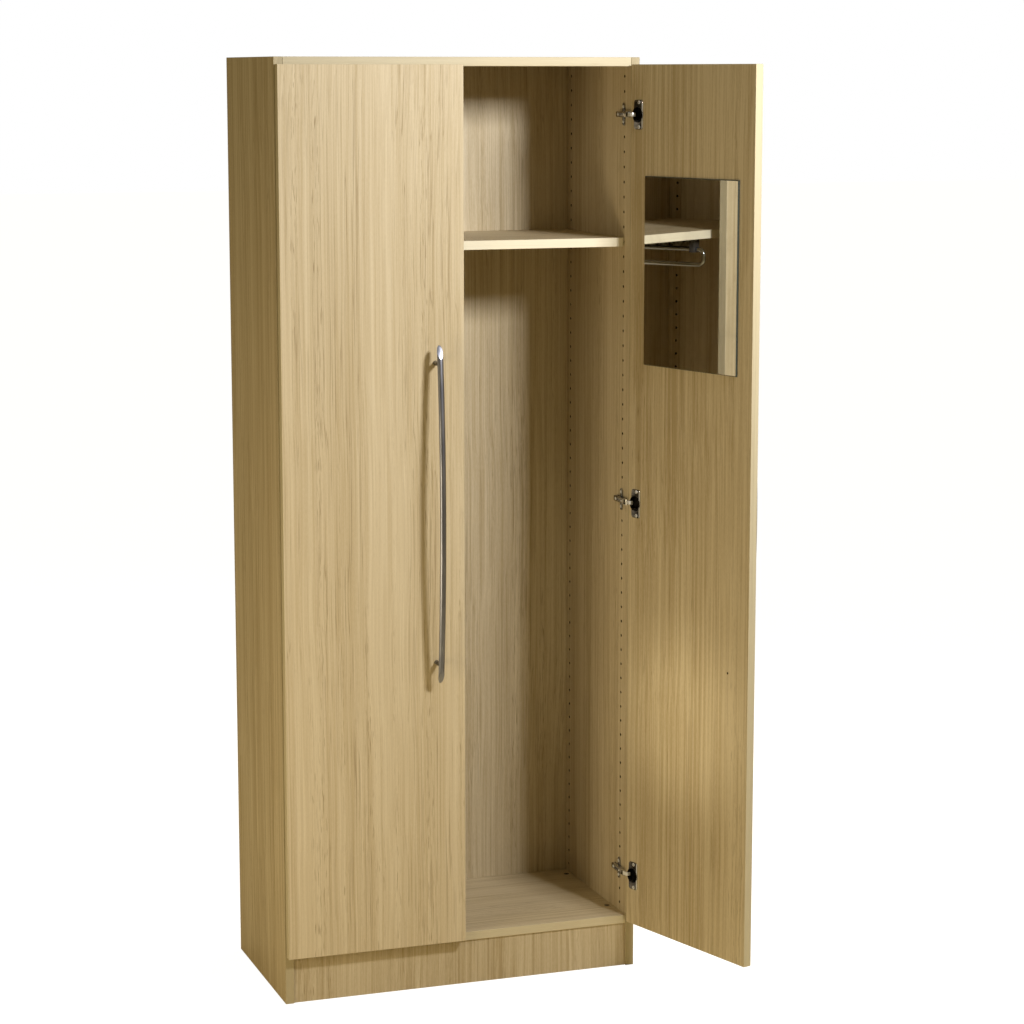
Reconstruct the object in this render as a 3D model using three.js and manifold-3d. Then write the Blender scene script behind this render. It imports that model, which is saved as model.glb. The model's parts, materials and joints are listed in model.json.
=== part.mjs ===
// A free-standing two-door wardrobe. A board carcass on a plinth holds a hat shelf and a
// pull-out clothes rail. Each door hangs on three cup hinges and carries a long bow handle,
// and the right door has a mirror on its inner face.
//
// Millimetres. X runs to the right, Y from the front to the back, Z up. The origin is the
// middle of the plinth's underside. The right door stands open, the left door is closed.
import * as THREE from "three";
import { mergeVertices } from "three/addons/utils/BufferGeometryUtils.js";
import Module from "manifold-3d";

// ---- Driving dimensions ----------------------------------------------------------------

// Carcass
const WIDTH = 800; // over the outer faces of the sides
const DEPTH = 400; // front edge to rear edge of a side
const HEIGHT = 2000; // floor to the upper face
const BOARD = 19; // thickness of every board and of the doors
const JOINT_GAP = 0.3; // left between two pieces that touch
const PLINTH_HEIGHT = 98;
const PLINTH_RECESS = 4; // plinth behind the front edges of the sides
const BACK_THICKNESS = 8;
const BACK_INSET = 12; // rear edge of the sides to the rear face of the back
const GROOVE_DEPTH = 7; // groove that holds the back
const SHELF_RECESS = 31; // hat shelf behind the front edges of the sides

// Rows of blind holes in the sides
const HOLE_PITCH = 32;
const HOLE_RADIUS = 2.5;
const HOLE_DEPTH = 12;
const HOLE_TOP_DROP = 40; // upper face of the carcass to the highest hole
const HOLE_BASE_RISE = 15; // the least height of a hole above the base shelf
const FRONT_ROW = 37; // from the front edge of a side
const ROW_SPACING = 320; // front row to rear row
const SHELF_HOLE = 11; // holes from the top down to the one the hat shelf is fixed in

// Cam fittings that hold the base shelf and the top panel, and the hat shelf's hidden pins
const BOLT_RADIUS = 2.2; // a fitting's bolt and a shelf pin
const BOLT_REACH = 11; // into the side
const CAM_RADIUS = 6;
const CAM_HEIGHT = 13;
const CAM_SETBACK = 13; // side's inner face to the middle of the cam
const CAM_ROWS = { front: 80, rear: 339 }; // from the front edge of the board
const PIN_REACH = 9; // into the end of the hat shelf

// Doors
const DOOR_GAP = 3; // front edges of the sides to the inner faces of the doors
const DOOR_SIDE_REVEAL = 2; // a door's hinge edge inside the side's outer face
const DOOR_MIDDLE_GAP = 3; // between the closed doors
const DOOR_BOTTOM = 105;
const DOOR_TOP_DROP = 15; // upper face of the carcass to the top of the doors
const RIGHT_DOOR_OPEN = THREE.MathUtils.degToRad(107);
const LEFT_DOOR_OPEN = 0;

// Cup hinges
const PIVOT_DEPTH = 11; // door's inner face to the swing axis, inside the door
const SWING_CLEARANCE = 0.5; // between the turning hinge edge and the side
const CUP_RADIUS = 17.5;
const CUP_EDGE = 5; // door's hinge edge to the rim of the cup
const CUP_DEPTH = 12;
const CUP_WALL = 1.2;
const FLANGE_THICKNESS = 1.3;
const FLANGE_HEIGHT = 62;
const FLANGE_WIDTH = 28.5; // straight part, up to the flange's far edge
const FLANGE_REACH = 17; // middle of the cup to the flange's far edge
const PLATE_THICKNESS = 2.7;
const PLATE_FRONT = 22; // from the front edge of the side
const PLATE_REAR = 62;
const PLATE_RIB = 13; // height of the plate's middle rib
const WING_WIDTH = 13;
const WING_SPAN = 48; // over both wings, top to bottom
const ARM_HEIGHT = 12; // along Z
const ARM_THICKNESS = 8.2;
const ARM_SHOULDER = 3; // where the arm starts to narrow to its nose
const KNUCKLE_SETBACK = 7; // side's inner face to the link's pivot
const KNUCKLE_FORWARD = 6; // link's pivot in front of the side's front edge
const KNUCKLE_RADIUS = 3;
const LINK_THICKNESS = 1.6;
const LINK_HEIGHT = 8;
const LINK_FOOT_CLEARANCE = 3.1; // cup's wall to the link's foot
const LINK_FOOT_DEPTH = 4; // door's inner face to the link's foot
const LINK_HIP = [0.5, -7]; // the link's bend near the knuckle, from the knuckle, door open
const LINK_KNEE = [7.4, -0.3]; // the link's bend near the cup, from the foot, door open
const HINGE_OFFSET = 2.5; // hole pitches from the end of the row to the outer hinges

// Bow handles
const HANDLE_INSET = 64; // door's free edge to the handle
const HANDLE_LENGTH = 722;
const HANDLE_POST_SPACING = 640;
const HANDLE_POST_OFFSET = 35; // door face to the bar's centre line at the posts
const HANDLE_BOW = 15; // how much farther the middle of the bar stands out
const HANDLE_HALF_WIDTH = 6.5;
const HANDLE_HALF_THICKNESS = 5;
const POST_RADIUS = 5;
const SCREW_RADIUS = 2;
const SCREW_CLEARANCE = 0.5; // around the shank
const SCREW_HEAD_RADIUS = 4.5;
const SCREW_HEAD_DEPTH = 3;
const SCREW_BITE = 8; // into the post

// Mirror
const MIRROR_WIDTH = 300;
const MIRROR_HEIGHT = 400;
const MIRROR_THICKNESS = 4;
const MIRROR_INSET = 45; // from the door's free edge
const MIRROR_TOP_DROP = 233; // from the top of the door

// Pull-out clothes rail
const CHANNEL_WIDTH = 24;
const CHANNEL_HEIGHT = 18;
const CHANNEL_WALL = 2;
const CHANNEL_FRONT = 69;
const CHANNEL_LENGTH = 296;
const GUIDE_LENGTH = 12;
const GUIDE_CLEARANCE = 0.6; // around the rod that runs through the guide
const ROD_RADIUS = 5;
const ROD_DROP = 6; // channel's underside to the upper rod's centre line
const ROD_SPREAD = 35; // upper rod to lower rod
const LOOP_FRONT = 37; // centre line of the loop's front run
const LOOP_LENGTH = 300;
const LOOP_CORNER = 14;
const SLIDER_LENGTH = 60;
const SLIDER_CLEARANCE = 0.5; // each side, inside the channel

// Finishes
const LIGHT_OAK = { color: 0xcbb389, roughness: 0.55, metalness: 0 };
const SATIN_NICKEL = { color: 0xa9a8a2, roughness: 0.35, metalness: 1 };
const BRIGHT_NICKEL = { color: 0xbdbcb8, roughness: 0.2, metalness: 1 };
const CHROME = { color: 0xd6d8da, roughness: 0.08, metalness: 1 };
const DARK_STEEL = { color: 0x3a3b3d, roughness: 0.4, metalness: 1 };
const DARK_PLASTIC = { color: 0x2c2a28, roughness: 0.5, metalness: 0 };
const SILVERED_GLASS = { color: 0xe8ecee, roughness: 0.02, metalness: 1 };

// ---- Sizes worked out from the driving ones --------------------------------------------

const doorInner = -DOOR_GAP;
const doorOuter = doorInner - BOARD;
const doorTop = HEIGHT - DOOR_TOP_DROP;
const doorFree = WIDTH / 2 - DOOR_MIDDLE_GAP / 2;
const baseTop = PLINTH_HEIGHT + BOARD;
const topUnderside = HEIGHT - BOARD;
const backRear = DEPTH - BACK_INSET;
const backFront = backRear - BACK_THICKNESS;
const topHole = HEIGHT - HOLE_TOP_DROP;
const holeCount = 1 + Math.floor((topHole - baseTop - HOLE_BASE_RISE) / HOLE_PITCH);
const holeHeight = (steps) => topHole - steps * HOLE_PITCH;
const shelfMiddle = holeHeight(SHELF_HOLE);
const shelfUnderside = shelfMiddle - BOARD / 2;
const SHELF_ROWS = { front: FRONT_ROW, rear: FRONT_ROW + ROW_SPACING };

const lastHole = holeCount - 1;
const HINGES = [
  { place: "upper", z: holeHeight(HINGE_OFFSET) },
  { place: "middle", z: holeHeight(Math.floor(lastHole / 2) + 0.5) },
  { place: "lower", z: holeHeight(lastHole - HINGE_OFFSET) },
];
const handleMiddle = HINGES[1].z;

// The swing axis lies as far inside the hinge edge as the clearance to the side allows.
const pivotY = doorInner - PIVOT_DEPTH;
const cornerReach = -pivotY - SWING_CLEARANCE;
const cornerDepth = Math.max(PIVOT_DEPTH, BOARD - PIVOT_DEPTH);
const pivotX = DOOR_SIDE_REVEAL + Math.sqrt(cornerReach ** 2 - cornerDepth ** 2);
const knuckle = new THREE.Vector2(BOARD + KNUCKLE_SETBACK, -KNUCKLE_FORWARD);
const cupX = DOOR_SIDE_REVEAL + CUP_EDGE + CUP_RADIUS;
const cupOutside = CUP_RADIUS - JOINT_GAP;
const cupInside = cupOutside - CUP_WALL;
const linkFoot = new THREE.Vector2(
  cupX - cupInside + LINK_FOOT_CLEARANCE,
  doorInner - LINK_FOOT_DEPTH,
);

// ---- Solids ----------------------------------------------------------------------------

const wasm = await Module();
wasm.setup();

function solidOf(geometry) {
  const bare = geometry.clone();
  bare.deleteAttribute("normal");
  bare.deleteAttribute("uv");
  const merged = mergeVertices(bare, 1e-4);
  return new wasm.Manifold(
    new wasm.Mesh({
      numProp: 3,
      vertProperties: merged.attributes.position.array,
      triVerts: new Uint32Array(merged.index.array),
    }),
  );
}

function geometryOf(solid) {
  const { vertProperties, triVerts } = solid.getMesh();
  const geometry = new THREE.BufferGeometry();
  geometry.setAttribute("position", new THREE.BufferAttribute(vertProperties, 3));
  geometry.setIndex(new THREE.BufferAttribute(triVerts, 1));
  return geometry.toNonIndexed();
}

const joined = (...pieces) =>
  geometryOf(pieces.map(solidOf).reduce((whole, piece) => whole.add(piece)));

const cut = (body, tools) =>
  geometryOf(tools.map(solidOf).reduce((left, tool) => left.subtract(tool), solidOf(body)));

function block([x0, x1], [y0, y1], [z0, z1]) {
  const geometry = new THREE.BoxGeometry(x1 - x0, y1 - y0, z1 - z0);
  return geometry.translate((x0 + x1) / 2, (y0 + y1) / 2, (z0 + z1) / 2);
}

// A round bar from start, running along +axis ("x", "y" or "z").
function round(radius, length, axis, start, sides = 16) {
  const geometry = new THREE.CylinderGeometry(radius, radius, length, sides);
  if (axis === "x") geometry.rotateZ(-Math.PI / 2);
  if (axis === "z") geometry.rotateX(Math.PI / 2);
  const middle = new THREE.Vector3(...start);
  middle[axis] += length / 2;
  return geometry.translate(middle.x, middle.y, middle.z);
}

// A plan outline raised to a height, half of it above z and half below.
function raised(points, height, z) {
  const geometry = new THREE.ExtrudeGeometry(new THREE.Shape(points), {
    depth: height,
    bevelEnabled: false,
  });
  return geometry.translate(0, 0, z - height / 2);
}

// The outline of a strip of even thickness along a bent line of points.
function strip(points, thickness) {
  const normals = points.slice(1).map((point, i) => {
    const along = point.clone().sub(points[i]).normalize();
    return new THREE.Vector2(-along.y, along.x);
  });
  const offset = (i, side) => {
    const before = normals[Math.max(i - 1, 0)];
    const after = normals[Math.min(i, normals.length - 1)];
    const mitre = before.clone().add(after).normalize();
    const reach = (side * thickness) / 2 / mitre.dot(after);
    return points[i].clone().addScaledVector(mitre, reach);
  };
  const left = points.map((_, i) => offset(i, 1));
  const right = points.map((_, i) => offset(i, -1)).reverse();
  return [...left, ...right];
}

function addMesh(parent, name, geometry, finish) {
  geometry.computeVertexNormals();
  const mesh = new THREE.Mesh(geometry, new THREE.MeshStandardMaterial(finish));
  mesh.name = name;
  parent.add(mesh);
}

// ---- The cabinet and its two halves ----------------------------------------------------
// Inside the cabinet group X starts at the left side's outer face and Y at the sides' front
// edges. Each half counts X inwards from its own side, so the right half is a mirror image.

const wardrobe = new THREE.Group();
const cabinet = new THREE.Group();
cabinet.position.set(-WIDTH / 2, -PLINTH_RECESS - BOARD / 2, 0);
wardrobe.add(cabinet);

const leftHalf = new THREE.Group();
const rightHalf = new THREE.Group();
rightHalf.position.x = WIDTH;
rightHalf.scale.x = -1;
cabinet.add(leftHalf, rightHalf);

const HALVES = [
  { side: "left", half: leftHalf, opening: LEFT_DOOR_OPEN },
  { side: "right", half: rightHalf, opening: RIGHT_DOOR_OPEN },
];

// A group that turns about an upright axis at x, y and holds pieces drawn with the door shut.
function turned(half, x, y, angle) {
  const turn = new THREE.Group();
  turn.position.set(x, y, 0);
  turn.rotation.z = angle;
  const drawn = new THREE.Group();
  drawn.position.set(-x, -y, 0);
  turn.add(drawn);
  half.add(turn);
  return drawn;
}

// ---- Carcass ---------------------------------------------------------------------------

const insideX = [BOARD + JOINT_GAP, WIDTH - BOARD - JOINT_GAP];

// The base shelf and the top panel: where their bolts lie, and the range of Z that a cam
// fills from the board's inner face.
const CAM_BOARDS = [
  {
    name: "base",
    boltHeight: PLINTH_HEIGHT + BOARD / 2,
    cam: [baseTop - CAM_HEIGHT, baseTop - JOINT_GAP],
    pocket: [baseTop - CAM_HEIGHT - JOINT_GAP, baseTop + 1],
    groove: [baseTop - GROOVE_DEPTH, baseTop + 1],
  },
  {
    name: "top",
    boltHeight: topUnderside + BOARD / 2,
    cam: [topUnderside + JOINT_GAP, topUnderside + CAM_HEIGHT],
    pocket: [topUnderside - 1, topUnderside + CAM_HEIGHT + JOINT_GAP],
    groove: [topUnderside - 1, topUnderside + GROOVE_DEPTH],
  },
];

// A six-sided hole whose flats lie at the hole's radius, from the side's inner face outwards.
function sideHole(y, z) {
  const corner = HOLE_RADIUS / Math.cos(Math.PI / 6);
  return round(corner, HOLE_DEPTH + 1, "x", [BOARD - HOLE_DEPTH, y, z], 6);
}

function sidePanel() {
  const groove = block(
    [BOARD - GROOVE_DEPTH, BOARD + 1],
    [backFront - JOINT_GAP, backRear + JOINT_GAP],
    [baseTop - GROOVE_DEPTH, topUnderside + GROOVE_DEPTH],
  );
  const cuts = [groove];
  for (const y of Object.values(SHELF_ROWS)) {
    for (let n = 0; n < holeCount; n += 1) cuts.push(sideHole(y, holeHeight(n)));
  }
  for (const y of Object.values(CAM_ROWS)) {
    for (const { boltHeight } of CAM_BOARDS) cuts.push(sideHole(y, boltHeight));
  }
  return cut(block([0, BOARD], [0, DEPTH], [0, HEIGHT]), cuts);
}

const upright = (radius, x, y, [z0, z1]) => round(radius, z1 - z0, "z", [x, y, z0]);

// A cam and its bolt, drawn in the left half.
function camFitting({ boltHeight, cam }, y) {
  const bolt = [BOARD - BOLT_REACH, y, boltHeight];
  return joined(
    upright(CAM_RADIUS, BOARD + CAM_SETBACK, y, cam),
    round(BOLT_RADIUS, BOLT_REACH + CAM_SETBACK, "x", bolt, 12),
  );
}

// The base shelf or the top panel, between the sides, cut for its cams, bolts and the back.
function camBoard({ boltHeight, pocket, groove }, z) {
  const cuts = [block([0, WIDTH], [backFront - JOINT_GAP, backRear + JOINT_GAP], groove)];
  const length = CAM_SETBACK + 1;
  const left = BOARD + CAM_SETBACK;
  const right = WIDTH - left;
  for (const y of Object.values(CAM_ROWS)) {
    for (const x of [left, right]) {
      const start = x === left ? x - length : x;
      cuts.push(upright(CAM_RADIUS + JOINT_GAP, x, y, pocket));
      cuts.push(round(BOLT_RADIUS + JOINT_GAP, length, "x", [start, y, boltHeight], 12));
    }
  }
  return cut(block(insideX, [0, DEPTH], z), cuts);
}

function hatShelf() {
  const cuts = [];
  for (const y of Object.values(SHELF_ROWS)) {
    for (const x of [BOARD, WIDTH - BOARD]) {
      const length = 2 * (PIN_REACH + JOINT_GAP);
      const start = [x - length / 2, y, shelfMiddle];
      cuts.push(round(BOLT_RADIUS + JOINT_GAP, length, "x", start, 12));
    }
  }
  const y = [SHELF_RECESS, backFront - JOINT_GAP];
  return cut(block(insideX, y, [shelfUnderside, shelfUnderside + BOARD]), cuts);
}

function backPanel() {
  const reach = GROOVE_DEPTH - JOINT_GAP;
  return block(
    [BOARD - reach, WIDTH - BOARD + reach],
    [backFront, backRear],
    [baseTop - reach, topUnderside + reach],
  );
}

const plinthZ = [0, PLINTH_HEIGHT - JOINT_GAP];
const plinth = block(insideX, [PLINTH_RECESS, PLINTH_RECESS + BOARD], plinthZ);

addMesh(cabinet, "plinth", plinth, LIGHT_OAK);
addMesh(cabinet, "base_shelf", camBoard(CAM_BOARDS[0], [PLINTH_HEIGHT, baseTop]), LIGHT_OAK);
addMesh(cabinet, "top_panel", camBoard(CAM_BOARDS[1], [topUnderside, HEIGHT]), LIGHT_OAK);
addMesh(cabinet, "back_panel", backPanel(), LIGHT_OAK);
addMesh(cabinet, "hat_shelf", hatShelf(), LIGHT_OAK);

for (const { side, half } of HALVES) {
  addMesh(half, `side_${side}`, sidePanel(), LIGHT_OAK);
  for (const [row, y] of Object.entries(CAM_ROWS)) {
    for (const board of CAM_BOARDS) {
      const name = `cam_fitting_${board.name}_${side}_${row}`;
      addMesh(half, name, camFitting(board, y), DARK_STEEL);
    }
  }
  for (const [row, y] of Object.entries(SHELF_ROWS)) {
    const start = [BOARD - BOLT_REACH, y, shelfMiddle];
    const pin = round(BOLT_RADIUS, BOLT_REACH + PIN_REACH, "x", start, 12);
    addMesh(half, `shelf_pin_${side}_${row}`, pin, BRIGHT_NICKEL);
  }
}

// ---- Doors -----------------------------------------------------------------------------

// Pieces on a door are drawn in the left half with the door shut.
const doorX = [DOOR_SIDE_REVEAL, doorFree];
const handleX = doorFree - HANDLE_INSET;
const POSTS = [
  { place: "upper", z: handleMiddle + HANDLE_POST_SPACING / 2 },
  { place: "lower", z: handleMiddle - HANDLE_POST_SPACING / 2 },
];

function door() {
  const cuts = [];
  const cupBottom = doorInner - CUP_DEPTH - JOINT_GAP;
  for (const { z } of HINGES) {
    const length = CUP_DEPTH + JOINT_GAP + 1;
    cuts.push(round(CUP_RADIUS, length, "y", [cupX, cupBottom, z], 32));
  }
  for (const { z } of POSTS) {
    const shank = SCREW_RADIUS + SCREW_CLEARANCE;
    const head = SCREW_HEAD_RADIUS + JOINT_GAP;
    const headStart = doorInner - SCREW_HEAD_DEPTH - JOINT_GAP;
    cuts.push(round(shank, BOARD + 2, "y", [handleX, doorOuter - 1, z], 12));
    cuts.push(round(head, SCREW_HEAD_DEPTH + 1, "y", [handleX, headStart, z], 16));
  }
  return cut(block(doorX, [doorOuter, doorInner], [DOOR_BOTTOM, doorTop]), cuts);
}

// The bar's centre line is an arc in the plane through both posts, square to the door.
const halfSpacing = HANDLE_POST_SPACING / 2;
const arcRadius = (halfSpacing ** 2 + HANDLE_BOW ** 2) / (2 * HANDLE_BOW);

function handleBar() {
  const crown = doorOuter - HANDLE_POST_OFFSET - HANDLE_BOW;
  const reach = Math.asin(HANDLE_LENGTH / 2 / arcRadius);
  const steps = 16;
  const line = [];
  for (let i = 0; i <= steps; i += 1) {
    const angle = reach * ((2 * i) / steps - 1);
    const y = crown + arcRadius * (1 - Math.cos(angle));
    line.push(new THREE.Vector3(handleX, y, handleMiddle + arcRadius * Math.sin(angle)));
  }
  const section = new THREE.Shape();
  section.absellipse(0, 0, HANDLE_HALF_WIDTH, HANDLE_HALF_THICKNESS, 0, 2 * Math.PI);
  return new THREE.ExtrudeGeometry(section, {
    curveSegments: 12,
    steps,
    extrudePath: new THREE.CatmullRomCurve3(line),
  });
}

// A post stops short of the bar, which crosses it on a slope.
function handlePost(z) {
  const slope = (POST_RADIUS * halfSpacing) / arcRadius;
  const barBack = doorOuter - HANDLE_POST_OFFSET + HANDLE_HALF_THICKNESS + slope + JOINT_GAP;
  const length = doorOuter - JOINT_GAP - barBack;
  const bore = SCREW_RADIUS + JOINT_GAP;
  const post = round(POST_RADIUS, length, "y", [handleX, barBack, z]);
  const boreStart = doorOuter - SCREW_BITE - 2 * JOINT_GAP;
  return cut(post, [round(bore, SCREW_BITE + 2, "y", [handleX, boreStart, z], 12)]);
}

function handleScrew(z) {
  const tip = doorOuter - SCREW_BITE;
  const headBack = doorInner - SCREW_HEAD_DEPTH;
  const shank = round(SCREW_RADIUS, headBack - tip + 1, "y", [handleX, tip, z], 12);
  const headLength = SCREW_HEAD_DEPTH - JOINT_GAP;
  return joined(shank, round(SCREW_HEAD_RADIUS, headLength, "y", [handleX, headBack, z]));
}

function mirrorGlass() {
  const top = doorTop - MIRROR_TOP_DROP;
  const right = doorFree - MIRROR_INSET;
  const back = doorInner + JOINT_GAP;
  return block(
    [right - MIRROR_WIDTH, right],
    [back, back + MIRROR_THICKNESS],
    [top - MIRROR_HEIGHT, top],
  );
}

// ---- Cup hinges ------------------------------------------------------------------------

// A flange with two screw ears on the door's face, around the mouth of the sunk cup.
function hingeCup(z) {
  const face = doorInner + JOINT_GAP;
  const far = cupX + FLANGE_REACH;
  const halfHeight = FLANGE_HEIGHT / 2;
  const bottom = doorInner - CUP_DEPTH;
  const ears = [z - halfHeight, z + halfHeight];
  const flange = joined(
    block([far - FLANGE_WIDTH, far], [face, face + FLANGE_THICKNESS], ears),
    round(CUP_RADIUS, FLANGE_THICKNESS, "y", [cupX, face, z], 32),
    round(cupOutside, CUP_DEPTH + JOINT_GAP, "y", [cupX, bottom, z], 32),
  );
  return cut(flange, [round(cupInside, CUP_DEPTH + 3, "y", [cupX, bottom + CUP_WALL, z], 32)]);
}

// A ribbed plate with two screw wings on the side's inner face.
function hingePlate(z) {
  const x = [BOARD + JOINT_GAP, BOARD + PLATE_THICKNESS];
  const wing = [FRONT_ROW - WING_WIDTH / 2, FRONT_ROW + WING_WIDTH / 2];
  return joined(
    block(x, [PLATE_FRONT, PLATE_REAR], [z - PLATE_RIB / 2, z + PLATE_RIB / 2]),
    block(x, wing, [z - WING_SPAN / 2, z + WING_SPAN / 2]),
  );
}

// The arm lies on the plate and ends in a round nose, the knuckle, in front of the side.
function hingeArm(z) {
  const near = BOARD + PLATE_THICKNESS + JOINT_GAP;
  const far = near + ARM_THICKNESS;
  const outline = [new THREE.Vector2(near, ARM_SHOULDER), new THREE.Vector2(near, PLATE_REAR)];
  outline.push(new THREE.Vector2(far, PLATE_REAR), new THREE.Vector2(far, ARM_SHOULDER));
  const noseSteps = 8;
  for (let i = 0; i <= noseSteps; i += 1) {
    const ray = new THREE.Vector2(KNUCKLE_RADIUS, 0);
    ray.rotateAround(new THREE.Vector2(), (-Math.PI * i) / noseSteps);
    outline.push(knuckle.clone().add(ray));
  }
  return raised(outline.reverse(), ARM_HEIGHT, z);
}

// Where a point drawn with the door shut lies once the left half's door is open.
function opened(point, angle) {
  return point.clone().rotateAround(new THREE.Vector2(pivotX, pivotY), -angle);
}

const bearing = (from, to) => Math.atan2(to.y - from.y, to.x - from.x);

// The bent link runs from the knuckle round the door's edge to its foot in the cup. It is
// drawn as it lies with the door at the right door's angle, then turned back to shut.
const footOpen = opened(linkFoot, RIGHT_DOOR_OPEN);
const linkTurn = bearing(knuckle, footOpen) - bearing(knuckle, linkFoot);

function hingeLink(z) {
  const hip = knuckle.clone().add(new THREE.Vector2(...LINK_HIP));
  const knee = footOpen.clone().add(new THREE.Vector2(...LINK_KNEE));
  const start = hip.clone().sub(knuckle).setLength(KNUCKLE_RADIUS + 2 * JOINT_GAP).add(knuckle);
  const bend = [start, hip, knee, footOpen];
  const shut = bend.map((point) => point.clone().rotateAround(knuckle, -linkTurn));
  return raised(strip(shut, LINK_THICKNESS), LINK_HEIGHT, z);
}

for (const { side, half, opening } of HALVES) {
  const onDoor = turned(half, pivotX, pivotY, -opening);
  const onLink = turned(half, knuckle.x, knuckle.y, (linkTurn * opening) / RIGHT_DOOR_OPEN);

  addMesh(onDoor, `door_${side}`, door(), LIGHT_OAK);
  addMesh(onDoor, `handle_bar_${side}`, handleBar(), SATIN_NICKEL);
  for (const { place, z } of POSTS) {
    addMesh(onDoor, `handle_post_${side}_${place}`, handlePost(z), SATIN_NICKEL);
    addMesh(onDoor, `handle_screw_${side}_${place}`, handleScrew(z), DARK_STEEL);
  }
  for (const { place, z } of HINGES) {
    addMesh(half, `hinge_plate_${side}_${place}`, hingePlate(z), BRIGHT_NICKEL);
    addMesh(half, `hinge_arm_${side}_${place}`, hingeArm(z), BRIGHT_NICKEL);
    addMesh(onLink, `hinge_link_${side}_${place}`, hingeLink(z), BRIGHT_NICKEL);
    addMesh(onDoor, `hinge_cup_${side}_${place}`, hingeCup(z), BRIGHT_NICKEL);
  }
  if (side === "right") addMesh(onDoor, "mirror", mirrorGlass(), SILVERED_GLASS);
}

// ---- Pull-out clothes rail -------------------------------------------------------------

const railX = WIDTH / 2;
const channelTop = shelfUnderside - JOINT_GAP;
const channelBottom = channelTop - CHANNEL_HEIGHT;
const channelRear = CHANNEL_FRONT + CHANNEL_LENGTH;
const upperRod = channelBottom - ROD_DROP;
const lowerRod = upperRod - ROD_SPREAD;
const across = (width) => [railX - width / 2, railX + width / 2];

// A steel channel, open below and at both ends.
function railChannel() {
  const hollow = block(
    across(CHANNEL_WIDTH - 2 * CHANNEL_WALL),
    [CHANNEL_FRONT - 1, channelRear + 1],
    [channelBottom - 1, channelTop - CHANNEL_WALL],
  );
  const y = [CHANNEL_FRONT, channelRear];
  return cut(block(across(CHANNEL_WIDTH), y, [channelBottom, channelTop]), [hollow]);
}

// The block in front of the channel, with the hole that the upper rod slides through.
function railGuide() {
  const y = [CHANNEL_FRONT - JOINT_GAP - GUIDE_LENGTH, CHANNEL_FRONT - JOINT_GAP];
  const z = [upperRod - ROD_RADIUS - CHANNEL_WALL - 1, channelTop];
  const hole = [railX, y[0] - 1, upperRod];
  const tool = round(ROD_RADIUS + GUIDE_CLEARANCE, GUIDE_LENGTH + 2, "y", hole, 24);
  return cut(block(across(CHANNEL_WIDTH), y, z), [tool]);
}

// A round rod along a closed line of points in an upright plane across X.
function ring(points, radius, sides = 12) {
  const positions = [];
  const rings = points.map((point, i) => {
    const before = points[(i + points.length - 1) % points.length];
    const after = points[(i + 1) % points.length];
    const along = after.clone().sub(before).normalize();
    const outward = along.clone().cross(new THREE.Vector3(1, 0, 0));
    return Array.from({ length: sides }, (_, k) => {
      const angle = (2 * Math.PI * k) / sides;
      const spoke = outward.clone().multiplyScalar(Math.cos(angle));
      spoke.x += Math.sin(angle);
      return point.clone().addScaledVector(spoke, radius);
    });
  });
  rings.forEach((near, i) => {
    const far = rings[(i + 1) % rings.length];
    near.forEach((a, k) => {
      const b = near[(k + 1) % sides];
      const c = far[(k + 1) % sides];
      const d = far[k];
      for (const corner of [a, c, b, a, d, c]) positions.push(...corner.toArray());
    });
  });
  const geometry = new THREE.BufferGeometry();
  geometry.setAttribute("position", new THREE.Float32BufferAttribute(positions, 3));
  return geometry;
}

// A rod bent into a long flat ring that hangs on edge from the channel.
function railLoop() {
  const [front, rear] = [LOOP_FRONT + LOOP_CORNER, LOOP_FRONT + LOOP_LENGTH - LOOP_CORNER];
  const [low, high] = [lowerRod + LOOP_CORNER, upperRod - LOOP_CORNER];
  const centres = [
    [rear, high],
    [front, high],
    [front, low],
    [rear, low],
  ];
  const steps = 5;
  const line = [];
  centres.forEach(([y, z], quarter) => {
    for (let i = 0; i <= steps; i += 1) {
      const angle = ((quarter + i / steps) * Math.PI) / 2;
      const reach = new THREE.Vector3(0, Math.cos(angle), Math.sin(angle));
      line.push(new THREE.Vector3(railX, y, z).addScaledVector(reach, LOOP_CORNER));
    }
  });
  return ring(line, ROD_RADIUS);
}

// A block that runs inside the channel and carries the rear of the loop.
function railSlider() {
  const rear = LOOP_FRONT + LOOP_LENGTH - LOOP_CORNER;
  const bottom = upperRod + ROD_RADIUS + JOINT_GAP;
  const top = channelTop - CHANNEL_WALL - SLIDER_CLEARANCE;
  const width = CHANNEL_WIDTH - 2 * CHANNEL_WALL - 2 * SLIDER_CLEARANCE;
  return block(across(width), [rear - SLIDER_LENGTH, rear], [bottom, top]);
}

addMesh(cabinet, "rail_channel", railChannel(), DARK_STEEL);
addMesh(cabinet, "rail_guide", railGuide(), DARK_PLASTIC);
addMesh(cabinet, "rail_slider", railSlider(), DARK_PLASTIC);
addMesh(cabinet, "rail_loop", railLoop(), CHROME);

export default wardrobe;
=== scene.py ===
# %% [markdown]
# # A two-door wardrobe in light oak
#
# The wardrobe is a board carcass with a plinth, a hat shelf and a pull-out clothes rail. Each
# door hangs on three cup hinges and has a long bow handle, and one door carries a mirror.
#
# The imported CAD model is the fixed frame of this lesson. It says where every piece lies and
# how it moves. Here each piece gets the shape and the finish that the eye expects: rounded
# board edges, drilled rows of holes, screws with recesses, hinge cups, and oak that has grain.

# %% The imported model
import json
import math
from contextlib import contextmanager

import bmesh
import bpy
from mathutils import Matrix, Vector


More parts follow.
